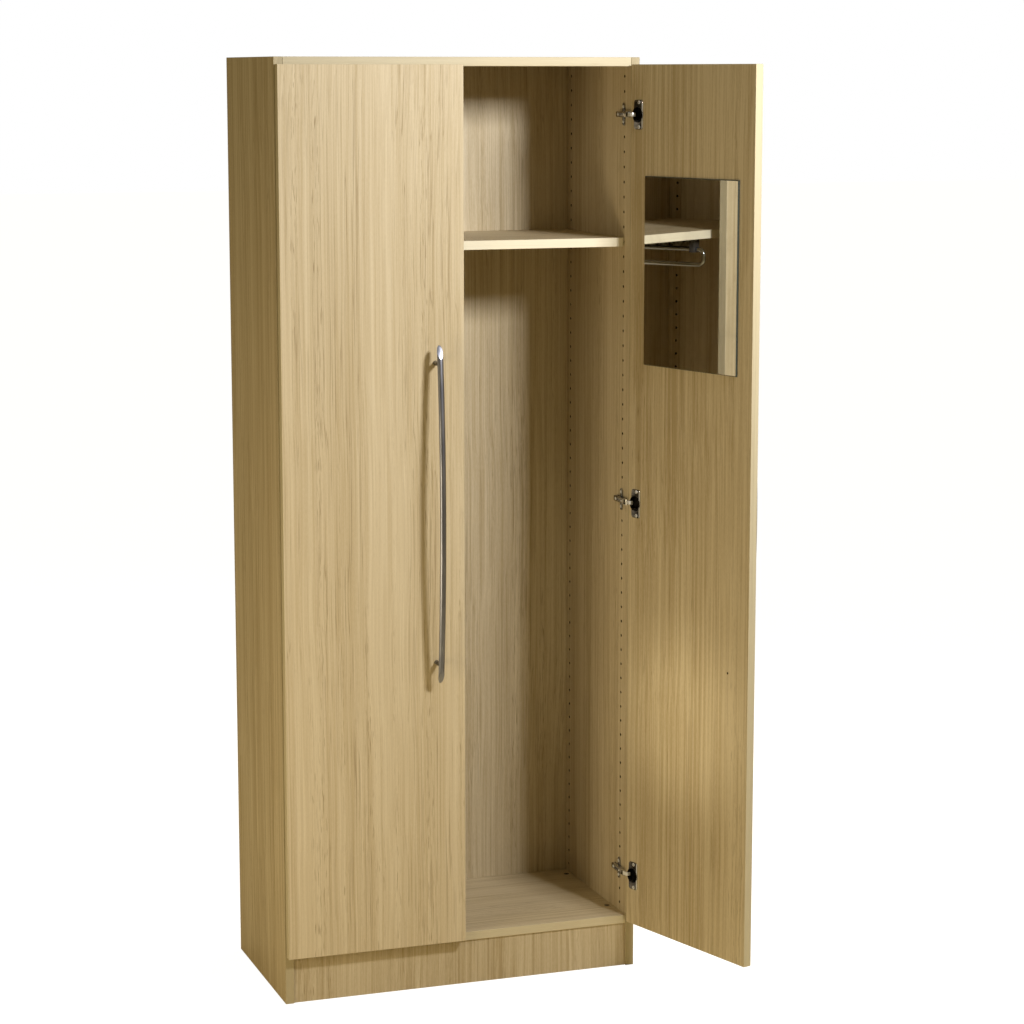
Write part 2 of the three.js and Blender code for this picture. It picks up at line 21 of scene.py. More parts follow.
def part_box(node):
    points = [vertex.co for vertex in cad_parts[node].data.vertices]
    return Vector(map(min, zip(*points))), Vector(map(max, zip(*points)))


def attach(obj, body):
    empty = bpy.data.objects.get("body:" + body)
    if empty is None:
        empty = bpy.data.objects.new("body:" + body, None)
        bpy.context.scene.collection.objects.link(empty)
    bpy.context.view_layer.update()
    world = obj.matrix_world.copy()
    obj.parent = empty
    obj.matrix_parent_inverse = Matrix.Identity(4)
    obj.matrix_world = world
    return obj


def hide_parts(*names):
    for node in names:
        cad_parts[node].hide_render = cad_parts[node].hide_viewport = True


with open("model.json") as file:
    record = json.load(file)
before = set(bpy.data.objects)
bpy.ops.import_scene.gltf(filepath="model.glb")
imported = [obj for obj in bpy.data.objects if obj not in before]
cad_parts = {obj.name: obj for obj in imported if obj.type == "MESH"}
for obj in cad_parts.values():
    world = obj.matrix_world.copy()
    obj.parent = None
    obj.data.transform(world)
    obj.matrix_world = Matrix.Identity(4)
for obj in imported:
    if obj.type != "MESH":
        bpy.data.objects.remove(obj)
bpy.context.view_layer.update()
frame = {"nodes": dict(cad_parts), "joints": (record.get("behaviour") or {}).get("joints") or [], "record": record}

MM = 0.001
BODY_OF = {
    node: body
    for body, nodes in frame["record"]["behaviour"]["bodies"].items()
    for node in nodes
}

# %% [markdown]
# ## The camera
#
# A tall object is drawn best from a little above the middle and from one side, so that the
# closed door, the side and the open compartment all show. A long lens keeps the upright edges
# nearly parallel. The camera looks at a point of the object from a bearing, a tilt and a
# distance, and its place is worked out from these.

# %% Camera
LENS = 96
SENSOR = 36
BEARING = math.radians(19.52)
TILT = math.radians(9.12)
DISTANCE = 5.9
AIM = Vector((0.1311, 0.0384, 1.0304))
level = math.cos(TILT)
ahead = Vector((math.sin(BEARING) * level, math.cos(BEARING) * level, -math.sin(TILT)))
camera_data = bpy.data.cameras.new("camera")
camera_data.lens = LENS
camera_data.sensor_width = SENSOR
camera = bpy.data.objects.new("camera", camera_data)
camera.location = AIM - ahead * DISTANCE
camera.rotation_euler = (math.pi / 2 - TILT, 0, -BEARING)
bpy.context.scene.collection.objects.link(camera)
bpy.context.scene.camera = camera
print("camera at", [round(n, 2) for n in camera.location])

# %% [markdown]
# ## Words for node trees
#
# The surround, the floor and all finishes are node trees. A small class adds a node with its
# values in one line. A socket is named by its label, or by its number as in i0, and a value
# that is itself a socket is joined with a link.


# %% Colours and node trees
def srgb(red, green, blue):
    """A colour given as it looks on a screen, 0 to 255, as the light values shaders use."""
    parts = [c / 255 for c in (red, green, blue)]
    return (*(c / 12.92 if c <= 0.04045 else ((c + 0.055) / 1.055) ** 2.4 for c in parts), 1)


class Sheet:
    """A node tree with short words for adding and joining nodes."""

    def __init__(self, tree):
        self.tree = tree

    def node(self, kind, settings=None, **inputs):
        made = self.tree.nodes.new("ShaderNode" + kind)
        for key, value in (settings or {}).items():
            setattr(made, key, value)
        for key, value in inputs.items():
            by_number = key[1:].isdigit()
            self.feed(made.inputs[int(key[1:]) if by_number else key.replace("_", " ")], value)
        return made

    def feed(self, socket, value):
        if isinstance(value, bpy.types.NodeSocket):
            self.tree.links.new(value, socket)
        else:
            socket.default_value = value

    def math(self, operation, a, b=0.0, clamp=False):
        node = self.node("Math", {"operation": operation, "use_clamp": clamp}, i0=a, i1=b)
        return node.outputs[0]

    def times(self, a, b):
        return self.math("MULTIPLY", a, b)

    def plus(self, a, b, clamp=False):
        return self.math("ADD", a, b, clamp)

    def minus(self, a, b):
        return self.math("SUBTRACT", a, b)

    def stretch(self, vector, scale):
        node = self.node("VectorMath", {"operation": "MULTIPLY"}, i0=vector, i1=scale)
        return node.outputs[0]

    def noise(self, vector, scale, detail=2.0, roughness=0.5):
        """Noise with so many cells to the metre along each axis."""
        fine = self.stretch(vector, scale)
        made = self.node("TexNoise", Vector=fine, Scale=1.0, Detail=detail, Roughness=roughness)
        return made.outputs[0]

    def ramp(self, value, low, high, to_low=0.0, to_high=1.0):
        return self.node("MapRange", i0=value, i1=low, i2=high, i3=to_low, i4=to_high).outputs[0]

    def blend(self, factor, a, b):
        node = self.node("Mix", {"data_type": "RGBA"}, i0=factor, i6=a, i7=b)
        return node.outputs[2]


print("white as light values:", srgb(255, 255, 255))

# %% [markdown]
# ## Light and floor
#
# One soft box stands high and to the right, in line with the open door, so the closed door is
# bright at the top and the compartment falls into shade towards its right corner. A warm, weak
# surround fills the shadows, a low box lights the closed side, and a box behind the object
# lights its back. Two narrow beams lift the lower part of the open door and of the side behind
# it. The floor is plain and pale. It looks nearly white, and still sends warm light up.

# %% Soft boxes
WARM = (1.0, 0.82, 0.52)
scene = bpy.context.scene
scene.view_settings.view_transform = "Standard"


def hang_lamp(name, kind, place, aim, power, colour):
    """A lamp that looks at a point, lights the object and isn't seen itself."""
    data = bpy.data.lights.new(name, kind)
    data.energy = power
    data.color = colour
    lamp = bpy.data.objects.new(name, data)
    lamp.location = place
    lamp.rotation_euler = (Vector(aim) - Vector(place)).to_track_quat("-Z", "Y").to_euler()
    lamp.visible_camera = False
    scene.collection.objects.link(lamp)
    return data


def soft_box(name, place, aim, size, power, colour):
    """A square lamp: the larger it is, the softer its shadows."""
    hang_lamp(name, "AREA", place, aim, power, colour).size = size


soft_box("key", (0.98, -1.96, 2.50), (0.1, 0.0, 1.9), 0.36, 59, (1.0, 0.97, 0.92))
soft_box("low_fill", (-1.58, -0.90, 0.70), (-0.2, -0.1, 0.75), 0.6, 10.0, WARM)
soft_box("rear_fill", (2.4, 1.7, 2.1), (0.2, 0.1, 1.1), 1.2, 80, (1.0, 0.93, 0.80))
print("soft boxes:", [lamp.name for lamp in bpy.data.lights])


# %% Soft beams
def soft_beam(name, place, aim, degrees, power, colour):
    """A narrow cone of light with a soft edge."""
    data = hang_lamp(name, "SPOT", place, aim, power, colour)
    data.spot_size = math.radians(degrees)
    data.spot_blend = 1.0
    data.shadow_soft_size = 0.08


BEAM_COLOUR = (1.0, 0.88, 0.62)
soft_beam("door_beam", (-1.9, -1.15, 0.62), (0.40, -0.22, 0.60), 11, 72, BEAM_COLOUR)
soft_beam("inner_beam", (-1.3, -2.2, 0.95), (0.38, 0.0, 0.75), 18, 22, BEAM_COLOUR)
print("lamps in all:", len(bpy.data.lights))

# %% Surround
FILL_COLOUR = (1.0, 0.80, 0.40, 1)
FILL_STRENGTH = 0.19
world = bpy.data.worlds.new("surround")
scene.world = world
world.use_nodes = True
world.node_tree.nodes.clear()
sky = Sheet(world.node_tree)
fill = sky.node("Background", Color=FILL_COLOUR, Strength=FILL_STRENGTH).outputs[0]
seen = sky.node("Background", Color=(1, 1, 1, 1), Strength=1.0).outputs[0]
seen_directly = sky.node("LightPath").outputs["Is Camera Ray"]
mix = sky.node("MixShader", i0=seen_directly, i1=fill, i2=seen)
sky.node("OutputWorld", Surface=mix.outputs[0])
print("surround strength:", FILL_STRENGTH)

# %% Floor
FLOOR_HALF = 40
bpy.ops.object.select_all(action="DESELECT")
bpy.ops.mesh.primitive_plane_add(size=2 * FLOOR_HALF, location=(0, 0, 0))
floor = bpy.context.active_object
floor.name = "floor"
pale = bpy.data.materials.new("pale_floor")
pale.use_nodes = True
pale.node_tree.nodes.clear()
sheet = Sheet(pale.node_tree)
matt = sheet.node("BsdfDiffuse", Color=(0.3, 0.3, 0.3, 1)).outputs[0]
glow = sheet.node("Emission", Strength=0.96).outputs[0]
seen = sheet.node("AddShader", i0=matt, i1=glow).outputs[0]
bounce = sheet.node("BsdfDiffuse", Color=(0.76, 0.66, 0.42, 1)).outputs[0]
seen_directly = sheet.node("LightPath").outputs["Is Camera Ray"]
mix = sheet.node("MixShader", i0=seen_directly, i1=bounce, i2=seen)
sheet.node("OutputMaterial", Surface=mix.outputs[0])
floor.data.materials.append(pale)
print("floor", 2 * FLOOR_HALF, "m across")

# %% [markdown]
# ## Tools of the bench
#
# The modelling operators act on whatever is selected. These helpers take one piece in hand,
# pick its faces or edges by where they are, and apply one modifier at a time. Two of them make
# the starting shapes, a block and a round bar, which are then shaped further.


# %% Taking a piece in hand
def deselect_all():
    bpy.ops.object.select_all(action="DESELECT")


def take(piece):
    deselect_all()
    piece.select_set(True)
    bpy.context.view_layer.objects.active = piece


@contextmanager
def editing(piece):
    take(piece)
    bpy.ops.object.mode_set(mode="EDIT")
    yield
    bpy.ops.object.mode_set(mode="OBJECT")


def pick(kind, wanted):
    """In edit mode, selects only the faces or edges that wanted() accepts."""
    bpy.ops.mesh.select_mode(type=kind)
    bpy.ops.mesh.select_all(action="DESELECT")
    mesh = bmesh.from_edit_mesh(bpy.context.edit_object.data)
    if kind == "FACE":
        chosen = [f for f in mesh.faces if wanted(f.calc_center_median(), f.normal)]
    else:
        chosen = [e for e in mesh.edges if wanted(e.verts[0].co, e.verts[1].co)]
    for item in chosen:
        item.select_set(True)
    bmesh.update_edit_mesh(bpy.context.edit_object.data)
    return len(chosen)


# %% Starting shapes
AXES = {"X": Vector((1, 0, 0)), "Y": Vector((0, 1, 0)), "Z": Vector((0, 0, 1))}
TURN_TO = {"X": (0, math.pi / 2, 0), "Y": (-math.pi / 2, 0, 0), "Z": (0, 0, 0)}


def settle():
    """Puts the new shape's place into its mesh."""
    bpy.ops.object.transform_apply(location=True, rotation=True, scale=True)
    return bpy.context.active_object


def block(low, high):
    """A block between two opposite corners."""
    low, high = Vector(low), Vector(high)
    deselect_all()
    bpy.ops.mesh.primitive_cube_add(size=1, location=(low + high) / 2)
    bpy.context.active_object.scale = high - low
    return settle()


def rod(radius, start, length, axis, sides=32):
    """A round bar that runs from start along +axis."""
    deselect_all()
    bpy.ops.mesh.primitive_cylinder_add(
        vertices=sides,
        radius=radius,
        depth=length,
        location=Vector(start) + AXES[axis] * length / 2,
        rotation=TURN_TO[axis],
    )
    return settle()


# %% Rounding, cutting and welding
def soften(piece, width, segments=3, wanted=None):
    """Rounds all edges, or those that wanted() accepts."""
    with editing(piece):
        if wanted:
            pick("EDGE", wanted)
        else:
            bpy.ops.mesh.select_mode(type="EDGE")
            bpy.ops.mesh.select_all(action="SELECT")
        bpy.ops.mesh.bevel(offset=width, segments=segments, affect="EDGES")
    return piece


def along(axis, tolerance=1e-6):
    """Accepts edges that run along an axis."""
    others = [k for k in range(3) if k != "XYZ".index(axis)]
    return lambda a, b: all(abs(a[k] - b[k]) < tolerance for k in others)


def rim(axis, where, tolerance=2e-5):
    """Accepts edges that lie in the plane at that place on the axis."""
    k = "XYZ".index(axis)
    return lambda a, b: abs(a[k] - where) < tolerance and abs(b[k] - where) < tolerance


def modify(piece, kind, **settings):
    """Adds one modifier with these settings and applies it."""
    take(piece)
    modifier = piece.modifiers.new(kind.lower(), kind)
    for key, value in settings.items():
        setattr(modifier, key, value)
    bpy.ops.object.modifier_apply(modifier=modifier.name)
    return piece


def combine(piece, tools, operation):
    exact = {"solver": "EXACT", "material_mode": "TRANSFER"}
    for tool in tools:
        modify(piece, "BOOLEAN", operation=operation, object=tool, **exact)
        bpy.data.objects.remove(tool)
    return piece


def face_outward(piece):
    """Turns every face right side out."""
    with editing(piece):
        bpy.ops.mesh.select_all(action="SELECT")
        bpy.ops.mesh.normals_make_consistent(inside=False)


def carve(piece, *tools):
    return combine(piece, tools, "DIFFERENCE")


def weld(piece, *others):
    return combine(piece, others, "UNION")


print("cuts are exact, one cutter at a time")


# %% Joining, copying and coating
def gather(first, *others):
    """Makes one piece of several that stay separate shells."""
    deselect_all()
    for piece in (first, *others):
        piece.select_set(True)
    bpy.context.view_layer.objects.active = first
    bpy.ops.object.join()
    return first


def copied(model, matrix):
    """A copy with its own mesh, moved by the matrix. A mirrored copy is turned right side out."""
    take(model)
    bpy.ops.object.duplicate(linked=False)
    piece = bpy.context.active_object
    piece.data.transform(matrix)
    if matrix.determinant() < 0:
        piece.data.flip_normals()
    return piece


def smooth(piece, degrees=35):
    take(piece)
    bpy.ops.object.shade_smooth_by_angle(angle=math.radians(degrees))
    return piece


def coat(piece, *materials):
    """Gives the piece these materials in order, in place of any it has."""
    for i, material in enumerate(materials):
        if i < len(piece.material_slots):
            piece.material_slots[i].material = material
        else:
            piece.data.materials.append(material)
    return piece


def paint(piece, index, wanted):
    """Gives the faces that wanted() accepts the material in that place of the piece's list."""
    with editing(piece):
        pick("FACE", wanted)
        piece.active_material_index = index
        bpy.ops.object.material_slot_assign()


def triangles(piece):
    return sum(len(face.vertices) - 2 for face in piece.data.polygons)


print("ready to model with", bpy.app.version_string)


# %% Putting a piece in its place
def install(piece, name, node):
    """Names a finished piece and lets it stand for its CAD node, on the node's body."""
    piece.name = name
    piece.data.name = name
    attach(piece, BODY_OF[node])
    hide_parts(node)
    return piece


# %% [markdown]
# ## Reusable shader parts
#
# Several finishes share the same effects, so each effect is a node group with named inputs:
# the oak figure, the speckle of particle board, brushed lines, smudges, edges brightened by wear and by a painted
# highlight, and dust.
# A group gives colours, masks and heights. The shader itself stays in each material.


# %% Building node groups
def group(name, inputs, outputs):
    """An empty group that takes a vector and these values, its sheet, and its two ends."""
    tree = bpy.data.node_groups.new(name, "ShaderNodeTree")
    tree.interface.new_socket("Vector", in_out="INPUT", socket_type="NodeSocketVector")
    for label, value in inputs.items():
        kind = "NodeSocketFloat" if isinstance(value, float) else "NodeSocketColor"
        tree.interface.new_socket(label, in_out="INPUT", socket_type=kind).default_value = value
    for label in outputs:
        kind = "NodeSocketColor" if label == "Color" else "NodeSocketFloat"
        tree.interface.new_socket(label, in_out="OUTPUT", socket_type=kind)
    entry, leave = tree.nodes.new("NodeGroupInput"), tree.nodes.new("NodeGroupOutput")
    return tree, Sheet(tree), entry.outputs, leave.inputs


# %% Oak figure
OAK, s, given, gives = group(
    "oak_figure",
    {
        "Light": srgb(212, 194, 160),
        "Dark": srgb(178, 155, 116),
        "Pore": srgb(120, 96, 62),
        "Contrast": 1.0,
        "Pore Amount": 0.5,
    },
    ["Color", "Roughness", "Height"],
)
wander = s.noise(given["Vector"], (1.7, 1.7, 1.3), 2.0)
drift = s.times(s.minus(wander, 0.5), 0.03)
shifted = s.node("VectorMath", {"operation": "ADD"}, i0=given["Vector"], i1=drift).outputs[0]
bands = s.noise(shifted, (14, 14, 0.30), 2.0, 0.5)
streaks = s.noise(shifted, (120, 120, 0.7), 3.0, 0.6)
lines = s.noise(shifted, (330, 330, 1.9), 2.0, 0.6)
grit = s.noise(given["Vector"], (760, 760, 110), 2.0, 0.6)
broad = s.plus(s.times(bands, 0.26), s.times(streaks, 0.34))
fine = s.plus(s.times(lines, 0.26), s.times(grit, 0.14))
figure = s.plus(broad, fine)
centred = s.times(s.minus(figure, 0.5), given["Contrast"])
tone = s.plus(s.times(centred, 3.4), 0.5, clamp=True)
wood = s.blend(tone, given["Dark"], given["Light"])
dashes = s.ramp(s.noise(shifted, (640, 640, 24), 1.0), 0.60, 0.70)
clusters = s.ramp(s.noise(shifted, (30, 30, 0.5), 1.0), 0.52, 0.66)
level = s.math("ABSOLUTE", s.minus(s.noise(shifted, (150, 150, 0.8), 2.0), 0.5))
threads = s.times(s.ramp(level, 0.0, 0.028, 1.0, 0.0), s.ramp(bands, 0.44, 0.56, 0.75, 0.15))
pores = s.math("MAXIMUM", s.times(dashes, clusters), threads)
pore_tint = s.times(pores, given["Pore Amount"])
s.feed(gives["Color"], s.blend(pore_tint, wood, given["Pore"]))
dull = s.times(pores, 0.12)
s.feed(gives["Roughness"], s.plus(s.ramp(tone, 0, 1, 0.56, 0.48), dull))
s.feed(gives["Height"], s.minus(s.times(lines, 0.35), pores))
print("oak figure:", len(OAK.nodes), "nodes")

# %% Particle board
CHIPS, s, given, gives = group(
    "chip_speckle", {"Pale": srgb(150, 122, 80), "Deep": srgb(78, 56, 30)}, ["Color", "Height"]
)
flakes = s.noise(given["Vector"], (700, 700, 1100), 3.0, 0.7)
amount = s.ramp(flakes, 0.35, 0.65)
s.feed(gives["Color"], s.blend(amount, given["Deep"], given["Pale"]))
s.feed(gives["Height"], flakes)
print("particle board:", len(CHIPS.nodes), "nodes")

# %% Brushed lines
BRUSHED, s, given, gives = group(
    "brushed_lines",
    {"Smooth": 0.22, "Rough": 0.40, "Light": (0.6, 0.6, 0.6, 1), "Dark": (0.4, 0.4, 0.4, 1)},
    ["Color", "Roughness", "Height"],
)
hairs = s.noise(given["Vector"], (2600, 2600, 40), 2.0, 0.6)
cloud = s.noise(given["Vector"], (60, 60, 14), 2.0)
amount = s.ramp(cloud, 0.35, 0.65)
s.feed(gives["Color"], s.blend(amount, given["Dark"], given["Light"]))
spread = s.minus(given["Rough"], given["Smooth"])
added = s.times(hairs, spread)
s.feed(gives["Roughness"], s.plus(added, given["Smooth"]))
s.feed(gives["Height"], hairs)
print("brushed lines:", len(BRUSHED.nodes), "nodes")

# %% Smudges
SMUDGES, s, given, gives = group("smudges", {"Clean": 0.02, "Touched": 0.08}, ["Roughness", "Mask"])
touch = s.ramp(s.noise(given["Vector"], (22, 22, 22), 4.0, 0.65), 0.50, 0.72)
spread = s.minus(given["Touched"], given["Clean"])
added = s.times(touch, spread)
s.feed(gives["Roughness"], s.plus(added, given["Clean"]))
s.feed(gives["Mask"], touch)
print("smudges:", len(SMUDGES.nodes), "nodes")

# %% Edges brightened by wear and by a painted highlight
WEAR_AND_HIGHLIGHT, s, given, gives = group(
    "worn_and_highlit_edges",
    {"Base": (0.5, 0.5, 0.5, 1), "Worn": (0.8, 0.8, 0.8, 1), "Amount": 0.5},
    ["Color", "Mask"],
)
# Convex edges are brightened: wear on the plastic, a painted highlight on the metals.
convex = s.ramp(s.node("NewGeometry").outputs["Pointiness"], 0.52, 0.60)
broken = s.ramp(s.noise(given["Vector"], (90, 90, 90), 3.0), 0.35, 0.65)
wear_and_highlight = s.times(s.times(convex, broken), given["Amount"])
s.feed(gives["Color"], s.blend(wear_and_highlight, given["Base"], given["Worn"]))
s.feed(gives["Mask"], wear_and_highlight)
print("worn edges:", len(WEAR_AND_HIGHLIGHT.nodes), "nodes")

# %% Settled dust
DUST, s, given, gives = group(
    "settled_dust",
    {"Base": (0.5, 0.5, 0.5, 1), "Dust": srgb(225, 220, 208), "Amount": 0.1},
    ["Color", "Mask"],
)
facing = s.node("SeparateXYZ", i0=s.node("NewGeometry").outputs["Normal"]).outputs[2]
patches = s.ramp(s.noise(given["Vector"], (9, 9, 9), 5.0, 0.7), 0.35, 0.75)
upward = s.ramp(facing, 0.6, 0.95)
lying = s.times(s.times(upward, patches), given["Amount"])
s.feed(gives["Color"], s.blend(lying, given["Base"], given["Dust"]))
s.feed(gives["Mask"], lying)
print("groups:", [g.name for g in bpy.data.node_groups])

# %% [markdown]
# ## Finishes
#
# The oak is a printed decor with a fine straight figure, so one function makes it for every
# board: the Mapping node turns the grain and moves each board to a fresh part of the pattern.
# Board edges carry a paler edge band, with a darker copy on the side panels as painted shade and a lighter copy on
# the hat shelf as painted light. Drilled holes show raw particle board, darkened to near black in the shelf holes
# as painted shade.


# %% Starting a material
def material(name, roughness=0.5, metallic=0.0):
    """A material with one shader, and the sheet to draw the rest on."""
    made = bpy.data.materials.new(name)
    made.use_nodes = True
    made.node_tree.nodes.clear()
    sheet = Sheet(made.node_tree)
    shader = sheet.node("BsdfPrincipled", Roughness=roughness, Metallic=metallic)
    sheet.node("OutputMaterial", Surface=shader.outputs["BSDF"])
    return made, sheet, shader


def mapped(sheet, turn=(0, 0, 0), shift=(0, 0, 0)):
    """The object's own coordinates, turned and shifted."""
    place = sheet.node("TexCoord").outputs["Object"]
    node = sheet.node("Mapping", Vector=place, Location=shift, Rotation=turn)
    return node.outputs["Vector"]


def use(sheet, tree, **inputs):
    """Places a group in a material with its own values."""
    node = sheet.tree.nodes.new("ShaderNodeGroup")
    node.node_tree = tree
    for key, value in inputs.items():
        sheet.feed(node.inputs[key.replace("_", " ")], value)
    return node


def bump(sheet, shader, height, strength, distance):
    node = sheet.node("Bump", Strength=strength, Distance=distance, Height=height)
    sheet.feed(shader.inputs["Normal"], node.outputs["Normal"])


# %% Oak
GRAIN_ALONG = {
    "X": (0, math.pi / 2, 0),
    "Y": (math.pi / 2, 0, 0),
    "Z": (0, 0, 0),
}
OAK_LIGHT, OAK_DARK, OAK_PORE = srgb(214, 201, 174), srgb(184, 167, 133), srgb(128, 106, 70)
DUST_COLOUR = srgb(232, 226, 212)


def oak(name, along_axis, shift, contrast=1.3, dust=0.05, colours=None, pores=0.6):
    """Oak whose grain runs along an axis, with its own part of the pattern."""
    made, sheet, shader = material(name, 0.5)
    vector = mapped(sheet, GRAIN_ALONG[along_axis], shift)
    light, dark = colours or (OAK_LIGHT, OAK_DARK)
    figure = use(
        sheet, OAK, Vector=vector, Light=light, Dark=dark, Pore=OAK_PORE,
        Contrast=contrast, Pore_Amount=pores,
    )
    wood = figure.outputs["Color"]
    dusty = use(sheet, DUST, Vector=vector, Base=wood, Dust=DUST_COLOUR, Amount=dust)
    sheet.feed(shader.inputs["Base Color"], dusty.outputs["Color"])
    sheet.feed(shader.inputs["Roughness"], figure.outputs["Roughness"])
    bump(sheet, shader, figure.outputs["Height"], strength=0.25, distance=0.4 * MM)
    return made


print("oak colours:", [round(c, 2) for c in (*OAK_LIGHT[:3], *OAK_DARK[:3])])


# %% Edge bands
def edge_band(name, axis, light, dark):
    """A calm oak for narrow edges, with few pores and no dust."""
    return oak(name, axis, (3.1, 1.7, 0.4), 0.8, 0.0, (light, dark), 0.3)


UPRIGHT_BAND = edge_band("upright_edge_band", "Z", srgb(208, 198, 171), srgb(192, 181, 151))
LEVEL_BAND = edge_band("level_edge_band", "X", srgb(206, 196, 169), srgb(192, 181, 151))
# A darker copy of the edge band for the side panels' edges: painted shade.
SHADED_SIDE_BAND = edge_band("side_edge_band_shaded", "Z", srgb(184, 172, 142), srgb(166, 154, 122))
# A paler copy of the edge band for the hat shelf's front edge: painted light.
LIT_PALE_BAND = edge_band("pale_edge_band_lit", "X", srgb(240, 234, 214), srgb(228, 220, 196))
print("finishes so far:", [m.name for m in bpy.data.materials])


# %% Raw board in holes and grooves
def raw_board(name, pale, deep):
    made, sheet, shader = material(name, 0.85)
    speckle = use(sheet, CHIPS, Vector=mapped(sheet), Pale=pale, Deep=deep)
    sheet.feed(shader.inputs["Base Color"], speckle.outputs["Color"])
    bump(sheet, shader, speckle.outputs["Height"], strength=0.5, distance=0.3 * MM)
    return made


RAW_BOARD = raw_board("raw_particle_board", srgb(150, 122, 80), srgb(78, 56, 30))
# Near-black board for the shelf holes: painted shade inside them.
PAINTED_SHADE_BORE = raw_board("bore_painted_shade", srgb(50, 35, 20), srgb(16, 10, 6))
print("raw boards:", RAW_BOARD.name, PAINTED_SHADE_BORE.name)

# %% [markdown]
# The metals share one recipe: brushed lines vary the colour and the roughness, and the raised
# edges are painted near-white, a painted highlight along them. Zinc-plated screws are only partly metallic, since
# their dull white skin scatters light. The plastic of the rail is moulded with a fine grain. The mirror is a
# smooth metal with faint smudges, and its ground edge is dark.

# %% Metals
# Near-white colour painted on the raised edges of every metal: a painted highlight.
EDGE_HIGHLIGHT = srgb(236, 234, 228)


def metal(name, light, dark, smooth, rough, grain_axis="Z", wear_and_highlight=0.3, metallic=1.0):
    made, sheet, shader = material(name, metallic=metallic)
    vector = mapped(sheet, GRAIN_ALONG[grain_axis])
    lines = use(sheet, BRUSHED, Vector=vector, Smooth=smooth, Rough=rough, Light=light, Dark=dark)
    brushed = lines.outputs["Color"]
    edges = use(sheet, WEAR_AND_HIGHLIGHT, Vector=vector, Base=brushed, Worn=EDGE_HIGHLIGHT, Amount=wear_and_highlight)
    sheet.feed(shader.inputs["Base Color"], edges.outputs["Color"])
    sheet.feed(shader.inputs["Roughness"], lines.outputs["Roughness"])
    bump(sheet, shader, lines.outputs["Height"], strength=0.12, distance=0.1 * MM)
    return made


SATIN_NICKEL = metal("satin_nickel", srgb(158, 162, 178), srgb(136, 140, 158), 0.26, 0.42)
# A darker copy of the handle's nickel for the posts: painted shade for the shade under the bar.
SHADED_POST_NICKEL = metal("post_nickel_painted_shade", srgb(92, 92, 98), srgb(62, 62, 68), 0.30, 0.46)
# The hinge nickel takes the painted edge highlight at full strength.
BRIGHT_NICKEL = metal("bright_nickel", srgb(150, 154, 166), srgb(84, 88, 98), 0.14, 0.30, "Y", 1.0)
ZINC_SCREW = metal("zinc_screw", srgb(244, 246, 250), srgb(222, 225, 232), 0.22, 0.40, "Y", 0.3, 0.35)
# Near-black metal for the inside of the cup: painted shade in the hollow.
CUP_PAINTED_SHADE = metal("cup_hollow_painted_shade", srgb(48, 46, 46), srgb(24, 23, 23), 0.35, 0.55, "Y", 0.1)
CHROME = metal("chrome_rod", srgb(206, 214, 228), srgb(184, 193, 210), 0.05, 0.14, "Y", 0.1)
DARK_STEEL = metal("dark_steel", srgb(84, 83, 84), srgb(54, 53, 54), 0.30, 0.50, "Z", 0.35)
print("finishes with the metals:", len(bpy.data.materials))

# %% Plastic
DARK_PLASTIC, sheet, shader = material("dark_plastic", 0.5)
vector = mapped(sheet)
marks = use(sheet, SMUDGES, Vector=vector, Clean=0.42, Touched=0.60)
edges = use(sheet, WEAR_AND_HIGHLIGHT, Vector=vector, Base=srgb(46, 43, 40), Worn=srgb(96, 92, 88), Amount=0.4)
moulded = sheet.noise(vector, (1500, 1500, 1500), 2.0)
sheet.feed(shader.inputs["Base Color"], edges.outputs["Color"])
sheet.feed(shader.inputs["Roughness"], marks.outputs["Roughness"])
bump(sheet, shader, moulded, strength=0.15, distance=0.2 * MM)
print("plastic:", DARK_PLASTIC.name)

# %% Mirror face and edge
MIRROR_FACE, sheet, shader = material("mirror_silver", metallic=1.0)
marks = use(sheet, SMUDGES, Vector=mapped(sheet), Clean=0.012, Touched=0.05)
silver = sheet.blend(marks.outputs["Mask"], srgb(226, 228, 226), srgb(218, 219, 216))
sheet.feed(shader.inputs["Base Color"], silver)
sheet.feed(shader.inputs["Roughness"], marks.outputs["Roughness"])

MIRROR_EDGE, sheet, shader = material("mirror_ground_edge", 0.25)
vector = mapped(sheet)
ground = sheet.noise(vector, (900, 900, 900), 2.0)
sheet.feed(shader.inputs["Base Color"], sheet.blend(ground, srgb(34, 38, 36), srgb(84, 92, 87)))
sheet.feed(shader.inputs["Roughness"], sheet.ramp(ground, 0.3, 0.7, 0.15, 0.4))
print("finishes:", len(bpy.data.materials))

# %% [markdown]
# ## Boards
#
# Every board is a block with slightly rounded edges, as a real board is after edge banding.
# Its two broad faces show the oak decor and its narrow faces the edge band. Holes are cut with
# a boolean, because a row of round holes can't be made cleanly by moving faces of a block.
# The cutter carries the raw board finish, and the holes take it over; the cutter of the shelf holes carries a
# near-black board instead, as painted shade in the holes.

# %% One board
ROUNDING = 0.8 * MM


def board(node, thickness_axis, face_finish, band_finish, corner=0.0):
    """A board with a broad finish and a band. Its right front corner may be rounded."""
    low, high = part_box(node)
    piece = block(low, high)
    if corner:
        upright = along("Z")
        right_front = lambda a, b: upright(a, b) and a.x > high.x - MM and a.y < low.y + MM
        soften(piece, corner, 6, right_front)
    soften(piece, ROUNDING)
    coat(piece, face_finish, band_finish)
    k = "XYZ".index(thickness_axis)
    paint(piece, 1, lambda centre, normal: abs(normal[k]) < 0.999)
    return piece


def drill(radius, start, length, axis, sides=20, finish=RAW_BOARD):
    """A round cutter that leaves its finish in the hole."""
    return coat(rod(radius, start, length, axis, sides), finish)


print("edges rounded by", ROUNDING / MM, "mm")

# %% Places that the boards share
side_low, side_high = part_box("side_left")
inner_face, front = side_high.x, side_low.y


